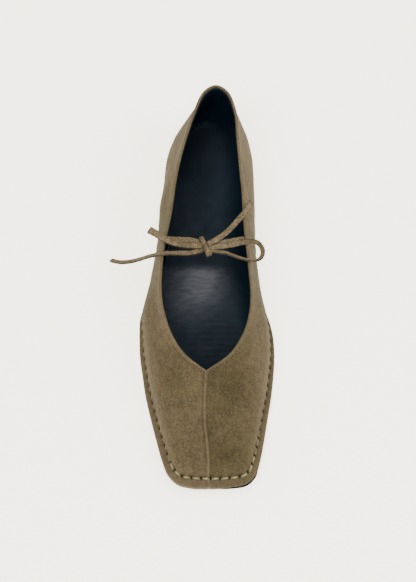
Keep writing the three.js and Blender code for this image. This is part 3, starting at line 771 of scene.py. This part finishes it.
band_points, band_painted_shade = knot_band()
band_faces = loop_faces(BAND_STEPS, SECTION, ring=True)
knot_wrap = new_mesh("knot_band", band_points, band_faces, tie_suede, {"painted_shade": band_painted_shade})
core_points = knot_core()
# Painted shade: the core under the band is darker all over.
knot_inside = new_mesh("knot_core", core_points, loop_faces(CORE_ROWS, CORE_STEPS, ring=False),
                       tie_suede, {"painted_shade": np.full(core_points.shape[:2], 0.35)})
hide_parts("knot")

# %% Loops and ends
def lay_cord(node, route, far_end, seed, widths=(1, 1, 1), depth=2.2):
    """Lay a strip on its route from the knot on, and hide the solid that it replaces."""
    placed = into_knot(with_roll(route) + [*tie_centre, 0], first=True, last=far_end == "object",
                       depth=depth)
    piece, path = strip(node + "_suede", placed, seed, widths)
    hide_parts(node)

lay_cord("loop_left", LOOP_LEFT, "object", 3.0, (1, 1, 1.3, 1, 1))
lay_cord("loop_right", LOOP_RIGHT, "object", 4.0)
lay_cord("end_left", END_LEFT, "bare", 5.0)
lay_cord("end_right", END_RIGHT, "bare", 6.0, depth=0.9)

# %% [markdown]
# ## Where the stitches fall
# The upper's lower edge is turned out and sewn down by hand with 22 stitches a side, from a hole
# on the toe's seam to where the turned edge narrows at the waist. The phase counts stitches along
# the line, so whole numbers are holes. The hide is pulled in at the holes and stands out between
# them.

# %% Stitch line
STITCHES = 22
LAST_STITCH = KNOTS[FLANGE_END]  # its distance along the outline

def stitch_phase(r):
    """Distance along the stitch line from the toe's seam, on each side, in stitches."""
    line, k = inset(r, r["wide"]), np.arange(r["half_ring"] + 1)
    phase = np.zeros(len(line))
    for index in (-k, k):
        run = run_along(line[index])
        pitch = np.interp(LAST_STITCH, r["q"][k], run) / STITCHES
        phase[index] = run / pitch
        print("stitch pitch, mm:", round(float(pitch), 2))
    return phase


def near_hole(phase, sharpness):
    """1 at a hole and 0 midway between two, falling faster with sharpness."""
    return (0.5 + 0.5 * np.cos(2 * np.pi * phase)) ** sharpness

phase = stitch_phase(upper_ring)
sewn = 1 - smoothstep(phase, STITCHES - 0.2, STITCHES + 1.6)
print("ribs beside stitches:", int((sewn > 0).sum()))

# %% [markdown]
# ## The upper
# The upper is one hollow shell. From its cut edge it runs over the turned-out flange to the stitch
# line, up the wall to the seam or the collar, over the collar's folded edge and down inside. A
# skin that is computed point by point keeps all its details in one surface: the flutes that the
# stitches draw, the raised seam, the folded edge and the soft waves of the hide.

# %% Plain wall and distances on it
ROWS = np.r_[np.linspace(0, 0.1, 12)[:-1], np.linspace(0.1, 0.9, 33)[:-1], np.linspace(0.9, 1, 12)]
wall = wall_grid(upper_ring, ROWS)
wall_out = wall_normals(upper_ring, wall)
rises = np.linalg.norm(np.diff(wall, axis=1), axis=2)
climbed = np.pad(np.cumsum(rises, axis=1), ((0, 0), (1, 0)))
left_to_head = climbed[:, -1:] - climbed
seam_heads, on_collar = upper_ring["seam_heads"], ~upper_ring["on_seam"]
print("wall grid:", wall.shape, "tallest rib, mm:", round(float(climbed.max()), 1))

# %% Centre seam and folded edge
SEAM_HEIGHT = 0.6
TOE_SEAM = 6  # the seam crosses the flange within this distance along the outline
COLLAR_LINE = 1.6  # fine stitches below the collar's edge

def seam_x(y):
    """The seam's place across the shoe: along the heads, and on to the middle of the toe's edge.
    On its way it wanders up to half a mm towards the little toe, and 1 mm at the toe's edge."""
    toe = upper_ring["edge"][0]
    line = np.interp(y, np.r_[toe[1], seam_heads[:, 1]], np.r_[toe[0], seam_heads[:, 0]])
    return line - 0.4 * hump(y, -184, 13) - 0.25 * hump(y, -202, 9) - smoothstep(-y, 204, 214)


def seam_lift(points):
    """Height that the seam adds: a narrow ridge with a shallow dip on both sides of it."""
    across = points[..., 0] - seam_x(points[..., 1])
    ahead = 1 - smoothstep(points[..., 1], seam_heads[-1, 1] - 1.5, seam_heads[-1, 1] + 0.8)
    return SEAM_HEIGHT * ahead * (hump(across, 0, 0.75) - 0.28 * hump(across, 2.0, 1.1)
                                  - 0.28 * hump(across, -2.0, 1.1))


def edge_fold(down):
    """Swelling of the folded collar: full at the edge, a groove where its stitches lie, then
    flat."""
    return 0.22 * (1 - smoothstep(down, 0.5, 1.9)) - 0.2 * hump(down, COLLAR_LINE, 0.35)

# %% Flutes, waves and creases of the outer face
def flutes(phase, up, down, sewn, flat):
    """Outward swelling between stitches. It is highest 2 mm above the line and dies out by 10 mm;
    at the holes the hide is drawn in. flat is lower at the toe, where the stitches lie open."""
    rise = (up / 2.2) * np.exp(1 - up / 2.2)
    between = 1 - near_hole(phase, 1.3)
    reach = 0.5 * near_hole(phase, 1.0) * np.exp(-((up - 5) / 4) ** 2)
    calm = sewn * smoothstep(down, 0.5, 6)
    return calm * (flat * between * rise - 0.45 * near_hole(phase, 6) * np.exp(-up / 1.6)
                   - 0.35 * reach)


def crease(points, start, end, depth, reach):
    """A soft trough along the plan line from start to end: depth mm deep, a bell across it, and
    fading towards both ends. A negative depth is a ridge."""
    a, b = np.array(start, float), np.array(end, float)
    line = b - a
    t = ((points[..., :2] - a) @ line) / (line @ line)
    away = np.linalg.norm(points[..., :2] - (a + np.clip(t, 0, 1)[..., None] * line), axis=-1)
    return -depth * hump(away, 0, reach) * (4 * np.clip(t, 0, 1) * (1 - np.clip(t, 0, 1))) ** 0.7


# Soft dents of the vamp, and the puckers where a strap leaves the collar's seam, in mm: start,
# end, depth and reach.
CREASES = [
    [(-12, -150), (-27, -172), 0.35, 6.0],
    [(10, -160), (17, -190), 0.3, 6.0],
    [(23, -170), (29, -150), -0.3, 5.0],
    [(-22, -195), (-8, -206), 0.25, 4.0],
    [(22, -74), (36, -72), 0.4, 1.5],
    [(22, -67), (36, -65), 0.3, 1.5],
    [(-36, -71), (-24, -70), 0.35, 1.5],
]


def outer_detail(points, up, down):
    """Everything that stands off the plain wall, in mm along its normal."""
    toe = smoothstep(upper_ring["along"], 0.9, 0.97)[:, None]
    detail = flutes(phase[:, None], up, down, sewn[:, None], 1.15 - 0.65 * toe)
    free = smoothstep(up, 1.5, 9) * smoothstep(down, 2.5, 9)
    detail += free * (0.34 * cloud(points, 42, 0.6) + 0.12 * cloud(points, 15, 1.9))
    for row in CREASES:
        detail += smoothstep(up, 0.5, 4) * crease(points, *row)
    back_seam = hump(KNOTS[-1] - upper_ring["q"], 0, 0.55)[:, None]
    detail += on_collar[:, None] * edge_fold(down)
    return detail - 0.35 * back_seam * smoothstep(down, 1.0, 2.5)

detail = outer_detail(wall, climbed, left_to_head)
outer = wall + wall_out * detail[..., None]
outer[..., 2] += seam_lift(wall)
print("detail from", round(float(detail.min()), 2), "to", round(float(detail.max()), 2), "mm")

# %% Flange, folded rim and inner face
def bare_sole(r):
    """1 where the black sole shows below the flange's edge: from the toe's middle to its right
    corner."""
    edge = r["edge"]
    return smoothstep(edge[:, 0], 3, 12) * (1 - smoothstep(edge[:, 1], -212, -200))


def flange_rows(r):
    """Cut edge and top of the flange: seven points round the edge, then level to the stitch line.
    The edge hangs over the sole's side, but not at the toe's right. At a hole the flange is drawn
    down beside the wall."""
    wide = r["wide"]
    bead = np.minimum(0.5, 0.45 * wide)
    base = inset(r, wide)
    low, top = seat(r["edge"][:, 1]), seat(base[:, 1]) + FLANGE_THICKNESS
    cover = 3.0 * (1 - bare_sole(r)) * smoothstep(wide, 0.6, 2.5)
    hang = np.minimum(1, cover)
    edge = [(bead, low), (bead - 0.28 * hang, low - cover),
            (bead * (1 - hang) - 0.12 * hang, low + 0.35 - cover), (0.1 * bead, low + 0.35),
            (0, low + 1.0), (0.12 * bead, low + 1.45), (bead, low + FLANGE_THICKNESS)]
    rows = [with_height(inset(r, inward), z) for inward, z in edge]
    for share in (0.3, 0.5, 0.66, 0.8, 0.9):
        plan = inset(r, bead + (wide - bead) * share)
        hole = sewn * near_hole(phase, 9) * hump((1 - share) * wide, 0.9, 0.8)
        lip = 0.2 * np.sin(np.pi * share) * sewn * (wide > 1)
        rows.append(with_height(plan, top + lip - hole + 0.12 * cloud(with_height(plan, 0.0), 7)))
    return np.stack(rows, axis=1)


def collar_rim(r, outside, inside):
    """Three points over the folded edge at each collar rib: half an ellipse from the outer to the
    inner head, standing off square to the collar's line. At the throat, both sides share one such
    row."""
    loop = np.where(on_collar | (r["station"] == r["station"][on_collar].min() - 1))[0]
    loop = loop[loop <= r["half_ring"]].tolist() + loop[loop > r["half_ring"]].tolist()
    head = (outside[loop, -1] + inside[loop, -1]) / 2
    tangent = np.roll(head, -1, axis=0) - np.roll(head, 1, axis=0)
    across = inside[loop, -1] - outside[loop, -1]
    away = unit(np.cross(tangent, across))
    away *= np.sign(np.sum(away * (outside[loop, -1] - outside[loop, -4]), axis=1))[:, None]
    rim = np.repeat(outside[:, -1][:, None], 3, axis=1)
    for j, angle in enumerate(np.radians([50, 90, 130])):
        rim[loop, j] = head - across * np.cos(angle) / 2 + away * 0.62 * np.sin(angle)
    rim[[loop[0], loop[-1]]] = (rim[loop[0]] + rim[loop[-1]]) / 2
    return rim

SUEDE = 1.5  # mm thick; the lining fills the rest of the wall
flange_part = flange_rows(upper_ring)
flange_part[..., 2] += seam_lift(flange_part) * (upper_ring["q"][:, None] < TOE_SEAM)
outer[:, 0] = wall[:, 0]
outer[:, 0, 2] -= 0.8 * sewn * near_hole(phase, 9)

keep = np.r_[0:len(ROWS):4, len(ROWS) - 1]
inner = wall - wall_out * SUEDE
foot_inside = inset(upper_ring, upper_ring["wide"] + SUEDE)
inner[:, 0] = with_height(foot_inside, seat(foot_inside[:, 1]))
rim = collar_rim(upper_ring, outer, inner)
loops = np.concatenate([flange_part, outer, rim, inner[:, keep][:, ::-1]], axis=1)
print("loop of a rib:", loops.shape[1], "points")

# %% Upper mesh
NAP_PATCHES = [  # x, y, reach both ways, and how dark
    [11, -167, 9, 11, 0.4],
    [15, -207, 14, 11, 0.28],
    [24, -176, 6, 9, -0.25],
    [30, -140, 5, 16, -0.4],
    [-24, -151, 7, 12, 0.3],
    [-18, -162, 7, 9, 0.5],
    [-16, -203, 8, 6, 0.15],
    [-30, -62, 12, 22, 0.4],
    [34, -98, 12, 12, 0.2],
    [30, -25, 14, 28, -0.3],
    [-28, -6, 14, 14, -0.25],
]


def nap_and_shade_of(points):
    """How far the suede is darkened: painted shade over the right half of the vamp, a little over
    the quarters, and uneven patches stroked darker or lighter, each a bell of its own reach both
    ways."""
    x, y = points[..., 0], points[..., 1]
    # Painted shade: the right half of the vamp is darkened, less towards its side.
    right = smoothstep(x - seam_x(y), 0.4, 2.0) * (1 - 0.6 * smoothstep(x, 22, 34))
    quarter = smoothstep(y, -125, -96)
    dark = (1 - quarter) * (0.4 * right + 0.1 * cloud(points, 30, 0.4)) + 0.2 * quarter
    for x_at, y_at, x_reach, y_reach, more in NAP_PATCHES:
        dark = dark + more * hump(x, x_at, x_reach) * hump(y, y_at, y_reach)
    return np.clip(dark, 0, 1)


def upper_values():
    """Stored on the points: painted shade in the holes, along the stitch line, in the groove of the
    collar stitches, beside the seam's ridge and at the back seam; glow, a painted highlight on the
    seam's ridge, the pleats between stitches, the folded collar edge and the flange; and the
    darkening of the suede."""
    top = flange_part.shape[1]
    outside, over = slice(top, top + len(ROWS)), slice(top + len(ROWS), top + len(ROWS) + 3)
    painted_shade, glow = np.zeros(loops.shape[:2]), np.zeros(loops.shape[:2])
    drawn, collar = sewn[:, None], on_collar[:, None]
    side = 1 - smoothstep(upper_ring["along"], 0.9, 0.96)[:, None]
    hole = drawn * near_hole(phase[:, None], 12 - 7 * side)
    across, vamp = wall[..., 0] - seam_x(wall[..., 1]), wall[..., 1] < seam_heads[-1, 1]
    # Painted shade: in the stitch holes, along the stitch line, in the collar stitches' groove, on
    # both sides of the centre seam's ridge and in the back seam.
    painted_shade[:, outside] = (
        (0.7 + 0.3 * side) * hole * np.exp(-(climbed / (0.8 + 0.7 * side)) ** 2)
        + 0.25 * drawn * np.exp(-(climbed / 0.5) ** 2)
        + 0.45 * collar * hump(left_to_head, COLLAR_LINE, 0.32)
        + 0.3 * vamp * hump(np.abs(across), 1.35, 0.55)
        + 0.4 * hump(KNOTS[-1] - upper_ring["q"], 0, 0.5)[:, None])
    # Painted shade in the holes on the flange and along the wall's foot.
    painted_shade[:, top - 3:top] = hole * (np.array([0.0, 0.5, 0.7]) + side * [0.4, 0.5, 0.3])
    painted_shade[:, top - 1] += 0.2 * sewn
    # Painted highlights on the pleats between stitches, the folded collar edge and the seam's ridge.
    pleat_highlight = drawn * (1 - near_hole(phase, 1.2)[:, None]) * hump(climbed, 1.6, 1.2)
    fold_highlight = collar * (1 - smoothstep(left_to_head, 0.3, 1.2))
    glow[:, outside] = np.clip(0.55 * vamp * hump(across, 0, 0.7) + 0.5 * pleat_highlight + 0.4 * fold_highlight, 0, 1)
    # Painted highlight over the whole flange, stronger along the seam's ridge across it, and on the
    # rim.
    at_toe = (upper_ring["q"] < TOE_SEAM)[:, None]
    across = flange_part[..., 0] - seam_x(flange_part[..., 1])
    glow[:, :top] = 0.3 + 0.45 * at_toe * hump(across, 0, 0.7)
    glow[:, over] = 0.4 * collar
    return {"painted_shade": np.clip(painted_shade, 0, 1), "glow": glow, "nap_and_shade": nap_and_shade_of(loops)}

rim_joints = np.zeros(loops.shape[:2], dtype=bool)
both = upper_ring["on_seam"] & np.roll(upper_ring["on_seam"], -1)
first_rim = flange_part.shape[1] + len(ROWS) - 1
rim_joints[both, first_rim:first_rim + 4] = True
upper = new_mesh("upper_suede", loops, loop_faces(*loops.shape[:2], ring=True, skip=rim_joints),
                 upper_suede, upper_values())
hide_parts("upper")

# %% [markdown]
# ## The lining
# Navy leather lines the whole shoe. It is a thin shell of its own just inside the suede, and stops
# a little below the folded edge, so that a narrow suede rim shows all round as on the real shoe.

# %% Lining
def lining_shell():
    """Two faces, 1.56 and 2 mm inside the plain wall, joined by an edge 1.1 mm below the head at
    the collar, and closed along the seam. A faint raised line follows the edge. Also gives how
    light each point is, and the number of rows in a face."""
    drop = 1.1 * on_collar[:, None]
    share = np.clip((climbed[:, -1:] - drop) / climbed[:, -1:], 0, 1)
    picks = np.r_[np.linspace(0.0, 0.12, 4)[:-1], np.linspace(0.12, 0.9, 22)[:-1],
                  np.linspace(0.9, 1, 7)]
    faces = []
    for depth in (SUEDE + 0.06, WALL):
        face = wall - wall_out * depth
        plan = inset(upper_ring, upper_ring["wide"] + depth + 0.1)
        face[:, 0] = with_height(plan, seat(plan[:, 1]) + 0.05)
        faces.append(face)
    target = (picks[None, :] * share) * climbed[:, -1:]
    position = np.array([np.interp(t, c, np.arange(len(ROWS))) for t, c in zip(target, climbed)])
    low = np.clip(position.astype(int), 0, len(ROWS) - 2)
    part = (position - low)[..., None]
    k = np.arange(len(wall))[:, None]
    outside, inside = [f[k, low] * (1 - part) + f[k, low + 1] * part for f in faces]
    edge = on_collar[:, None] * (1 - smoothstep(climbed[:, -1:] - drop - target, 0.4, 2.4))
    stitched = hump(target, climbed[:, -1:] - drop - 1.6, 0.5)[..., None]
    inside = inside + wall_out[k, low] * 0.12 * stitched * on_collar[:, None, None]
    both_faces = np.concatenate([outside, inside[:, ::-1]], axis=1)
    return both_faces, np.concatenate([edge, edge[:, ::-1]], axis=1), len(picks)

lining_loops, lining_edge, lining_rows = lining_shell()
lining_open = np.zeros(lining_loops.shape[:2], dtype=bool)
lining_open[both, lining_rows - 1] = True
lining = new_mesh("lining_leather", lining_loops,
                  loop_faces(*lining_loops.shape[:2], ring=True, skip=lining_open), lining_finish,
                  {"edge": lining_edge})

# %% [markdown]
# ## The insole
# A navy sock lies on the sole. It is cupped: its rim climbs a little where it meets the lining.
# The ball of the foot has pressed shallow cross wrinkles into it. Behind them lies a glossier
# patch, painted paler as a highlight, and beside the inner wall the sock is painted near-black as
# the wall's shadow.

# %% Insole
def cross_sections(r, recess):
    """Facing points of the ring, left and right, as ends of cross sections from toe to heel."""
    edge = inset(r, recess)
    k = np.arange(r["half_ring"] + 1)
    right, left = edge[k], edge[-k]
    middle = (right[[0, -1], 0] + left[[0, -1], 0]) / 2
    right[[0, -1], 0] = left[[0, -1], 0] = middle
    return left, right


def insole_loops(columns=56):
    """Upper face from left to right and lower face back, for every cross section. The height is
    the pad's thickness, a rim that climbs within 5 mm of the wall, ripples at the ball and two
    shallow dishes. Also gives the stored values: where the ball ripples; where it is glossier and
    painted paler as a highlight; and where it is rougher and painted near-black as the inner wall's
    shadow."""
    left, right = cross_sections(upper_ring, upper_ring["wide"] + WALL + 0.15)
    u = np.sin(np.linspace(-np.pi / 2, np.pi / 2, columns))
    plan = left[:, None] + (right - left)[:, None] * (u[None, :, None] + 1) / 2
    wide = np.linalg.norm(right - left, axis=1)[:, None]
    y_end = np.minimum(right[:, 1] - right[0, 1], right[-1, 1] - right[:, 1])[:, None]
    near = np.minimum((1 - np.abs(u)[None]) * wide / 2, np.abs(y_end))
    x, y = plan[..., 0], plan[..., 1]
    flat = with_height(plan, 0.0)
    rim = 2.4 * (1 - smoothstep(near, 0, 5.5)) ** 1.5
    ball = hump(y, -138, 26) * hump(x, 2, 26)
    ripples = ball * (0.16 * np.sin(y / 0.62 + 1.2 * cloud(flat, 17) + 0.03 * x * x / 10)
                      + 0.14 * cloud(flat * [0.35, 1.6, 1], 6.0, 2.0))
    dish = -0.5 * hump(y, -5, 26) * hump(x, 3, 17) - 0.35 * hump(y, -140, 32) * hump(x, 2, 26)
    height = seat(y) + INSOLE_THICKNESS + rim + ripples + dish + 0.12 * cloud(flat, 30, 1.0)
    bottom = with_height(plan, seat(y) + 0.05)
    both_faces = np.concatenate([with_height(plan, height), bottom[:, ::-1]], axis=1)
    # Painted highlight, where the leather is also glossier: a patch behind the ball, a little left
    # of the middle.
    gloss_and_painted_highlight = smoothstep(-y, 72, 80) * (0.85 * (1 - smoothstep(-y, 84, 104)) * hump(x, -3, 11)
                                       + 0.38 * (1 - smoothstep(-y, 92, 122)) * hump(x, -11, 20))
    gloss_and_painted_highlight *= 1 + 0.25 * cloud(flat * [1, 1.5, 1], 11, 3.0) + 0.12 * cloud(flat * [0.3, 2.2, 1], 5)
    gloss_and_painted_highlight = np.clip(gloss_and_painted_highlight, 0, 1)
    # Painted shadow of the inner wall, where the leather is also rougher: near it, from the ball
    # back to the heel.
    matte_and_painted_shadow = (1 - smoothstep((1 - u)[None] * wide / 2, 3, 18)) * smoothstep(y, -165, -130)
    return both_faces, [np.concatenate([v, 0 * v], axis=1) for v in (ball, gloss_and_painted_highlight, matte_and_painted_shadow)]

insole_points, (insole_ball, insole_gloss_and_highlight, insole_matte_and_shadow) = insole_loops()
insole = new_mesh("insole_leather", insole_points,
                  loop_faces(*insole_points.shape[:2], ring=False), insole_finish,
                  {"ball": insole_ball, "gloss_and_painted_highlight": insole_gloss_and_highlight, "matte_and_painted_shadow": insole_matte_and_shadow})
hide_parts("insole")

# %% [markdown]
# ## The sole
# One thin black rubber sole, 4 mm thick, bends from a low heel over the arch to the tread and
# springs up at the toe. Its edges are rounded over, and at the toe's right corner it stands out a
# little past the flange. The heel lift is a second layer under it, a little smaller.

# %% Sole and heel lift
SOLE_RECESS, HEEL_RECESS = 0.3, 0.9

def rounded_plate(r, recess, low, high, radius, top_radius):
    """Cross sections with quarter-round lower corners and smaller upper ones, from toe to heel."""
    def quarter(degrees, size):
        """How far in and how far up the points of a quarter circle lie."""
        return [(size * (1 - np.cos(a)), size * (1 - np.sin(a))) for a in np.radians(degrees)]
    profile = [(more, low, lift) for more, lift in quarter([90, 60, 30, 0], radius)]
    profile += [(more, high, -drop) for more, drop in quarter([0, 45, 90], top_radius)]
    left, right = [], []
    for more, level, lift in profile:
        for plan, side in zip(cross_sections(r, recess + more), (left, right)):
            side.append(with_height(plan, level(plan[:, 1]) + lift))
    return np.stack(left[::-1] + right, axis=1)

corner = smoothstep(upper_ring["q"], 5, 22) * (1 - smoothstep(upper_ring["q"], 28, 38))
bare_corner = 0.7 * corner * (upper_ring["side"] > 0)
sole_points = rounded_plate(upper_ring, SOLE_RECESS - bare_corner, underside,
                            lambda y: underside(y) + SOLE_THICKNESS, 1.0, 0.35)
outsole = new_mesh("outsole_rubber", sole_points,
                   loop_faces(*sole_points.shape[:2], ring=False), sole_rubber)
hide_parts("outsole")

lift_points = rounded_plate(upper_ring, SOLE_RECESS + HEEL_RECESS, lambda y: 0 * y,
                            lambda y: underside(y) + SOLE_THICKNESS / 2, 0.8, 0.05)
# The breast is flat: the first section is set on its line, and one drawn to its middle closes it.
breast_y = HEEL_CENTRE * LENGTH - HEEL_BREAST
lift_points = lift_points[upper_ring["edge"][: len(lift_points), 1] >= breast_y - 0.6]
lift_points[0, :, 1] = breast_y
breast = np.broadcast_to(lift_points[0].mean(axis=0), lift_points[:1].shape)
lift_points = np.concatenate([breast, lift_points])
heel_lift = new_mesh("heel_lift", lift_points, loop_faces(*lift_points.shape[:2], ring=False),
                     sole_rubber)

# %% [markdown]
# ## Hand stitches
# A thick waxed thread goes in and out along the stitch line. Each stitch is a short arched rod
# that dives into a hole at both ends and lies a little slanted. One function bends all of them at
# once.

# %% Stitches along the flange
TWIST = 0.62  # mm along the thread for a radian of its twist

def stitch_rods(centre, along, side, up, length, radius, rings=11, sides=9, sink=1.5):
    """Rods for all stitches in one array. Along a rod t goes from -1 to 1; its line sinks with t
    to the fifth power, its radius narrows with t to the sixth, and both ends close to a point."""
    t, a = np.linspace(-1, 1, rings), turns(sides)
    narrow = radius * (1 - 0.3 * t ** 6)
    narrow[[0, -1]] = 0
    line = (centre[:, None] + along[:, None] * (t * length / 2)[None, :, None]
            - up[:, None] * (sink * np.abs(t) ** 5)[None, :, None])
    ring = (side[:, None, None] * np.cos(a)[None, None, :, None]
            + up[:, None, None] * np.sin(a)[None, None, :, None])
    points = line[:, :, None] + ring * narrow[None, :, None, None]
    twist = t[:, None] * length / 2 / TWIST + a[None, :]
    return points, np.broadcast_to(twist, points.shape[:-1])


def rods_mesh(name, points, twist, material):
    """All rods as one mesh, each with its own faces."""
    count, rings, sides, _ = points.shape
    faces = loop_faces(rings, sides, ring=False)
    faces = (faces[None] + (np.arange(count) * rings * sides)[:, None, None]).reshape(-1, 4)
    return new_mesh(name, points, faces, material, {"twist": twist}, weld=2e-8)


def line_at(r, side, where, value, phases):
    """Values of a ring quantity at given stitch phases on one side."""
    k = np.arange(r["half_ring"] + 1) * side
    return at_places(phases, where[k], value[k])


def flange_stitches():
    """Middle of every stitch on both sides, with its direction along the line, slanted 8 degrees.
    At the toe they lie open, a little further up on the right, and along the sides the flutes hang
    over them."""
    start = np.where(upper_ring["side"] > 0, 0.82, 0.9)
    toe = smoothstep(upper_ring["along"], start, start + 0.06)
    plan = inset(upper_ring, upper_ring["wide"] + 0.55 - 1.15 * toe)
    place_of = with_height(plan, seat(plan[:, 1]) + FLANGE_THICKNESS + 0.15 + 0.35 * toe)
    parts, phases = [], np.arange(STITCHES) + 0.5
    slant = np.radians(8 + 2.5 * np.sin(phases * 2.1))[:, None]
    for side in (1, -1):
        behind, middle, ahead = (line_at(upper_ring, side, phase, place_of, phases + step)
                                 for step in (-0.4, 0, 0.4))
        along = unit(ahead - behind)
        out = unit(np.cross(along, [0, 0, 1.0])) * side
        along = along * np.cos(slant) - out * np.sin(slant)
        up = np.cross(out, along)
        up *= np.sign(up[:, 2:])
        parts.append((middle + out * 0.1 * np.sin(phases * 3.7)[:, None], along, out, up))
    return [np.concatenate(p) for p in zip(*parts)]

rods, twist = stitch_rods(*flange_stitches(), length=5.3, radius=0.88)
rods_mesh("hand_stitches", rods, twist, seam_thread)
print("stitches:", len(rods))

# %% Fine stitches inside the collar's edge
def collar_stitches(pitch=1.75):
    """Small stitches in the groove below the folded edge, all round the collar."""
    index = np.where(on_collar)[0]
    index = np.r_[index[index <= upper_ring["half_ring"]], index[index > upper_ring["half_ring"]]]
    rows = np.arange(len(ROWS))
    row = np.array([np.interp(-COLLAR_LINE, -left_to_head[k], rows) for k in index])
    low = row.astype(int)
    part = (row - low)[:, None]
    line = outer[index, low] * (1 - part) + outer[index, low + 1] * part
    out = wall_out[index, low]
    tip = seam_heads[-1] + 2.0 * unit(seam_heads[-3] - seam_heads[-1]) + [0, 0, 0.2]
    line, out = np.vstack([tip, line, tip]), np.vstack([out[0], out, out[-1]])
    run = run_along(line)
    spots = np.arange(pitch, run[-1] - pitch, pitch)
    at, up = at_places(spots, run, line), unit(at_places(spots, run, out))
    along = unit(at_places(spots + 0.5, run, line) - at)
    return at + up * 0.06, along, np.cross(up, along), up

fine_rods, fine_twist = stitch_rods(*collar_stitches(), length=1.2, radius=0.22, rings=5, sides=5,
                                    sink=0.3)
rods_mesh("collar_stitches", fine_rods, fine_twist, fine_thread)
print("fine stitches:", len(fine_rods))

# %% [markdown]
# ## Floor, backdrop and light
# The photograph has a warm white ground without an edge and a very soft light. A large plain plane
# is the floor, with a weak glow of its own. Broad area lights stand over it, and the world fills
# the rest. The light behind the heel is there for the insole's soft shine.

# %% Floor and light
FLOOR = 3.0  # m from its middle to a side
LAMPS = [  # name, place, target, size, power and colour, in metres and watts
    ("soft_top", (-0.4, -0.75, 1.9), (0, -0.08, 0), 1.6, 66, (1, 0.985, 0.96)),
    ("soft_right", (1.4, -0.2, 1.5), (0, -0.08, 0), 1.4, 31, (0.99, 0.98, 0.97)),
    ("insole_shine", (0.0, 0.45, 2.0), (0, -0.09, 0), 0.6, 14, (1, 1, 1)),
]


def plain_floor():
    """A square far wider than the view, with a weak glow of its own, as of a lit table top."""
    mesh = bpy.data.meshes.new("floor")
    corners = [(-1, -1), (1, -1), (1, 1), (-1, 1)]
    mesh.from_pydata([(x * FLOOR, y * FLOOR, 0) for x, y in corners], [], [(0, 1, 2, 3)])
    f = Finish("floor")
    tint = f.mix(f.noise(400, detail=1.0), srgb("f4f2ec"), srgb("f6f4ef"))
    f.shader.inputs["Emission Color"].default_value = (1, 0.965, 0.775, 1)
    f.shader.inputs["Emission Strength"].default_value = 2.35
    mesh.materials.append(f.finish(tint, 0.95, f.bump(f.noise(3), 0.01, 0.05),
                                   Specular_IOR_Level=0.1))
    floor = add_object("floor", mesh)


def area_light(name, place, target, size, power, colour):
    """A square lamp at place, turned to target."""
    data = bpy.data.lights.new(name, "AREA")
    data.shape, data.size, data.energy, data.color = "SQUARE", size, power, colour
    lamp = add_object(name, data)
    lamp.location = place
    lamp.rotation_euler = (Vector(target) - Vector(place)).to_track_quat("-Z", "Y").to_euler()

plain_floor()
for lamp in LAMPS:
    area_light(*lamp)

world = bpy.data.worlds.new("studio")
world.use_nodes = True
background = world.node_tree.nodes["Background"].inputs
background["Color"].default_value = (0.97, 0.96, 0.95, 1)
background["Strength"].default_value = 0.62
bpy.context.scene.world = world
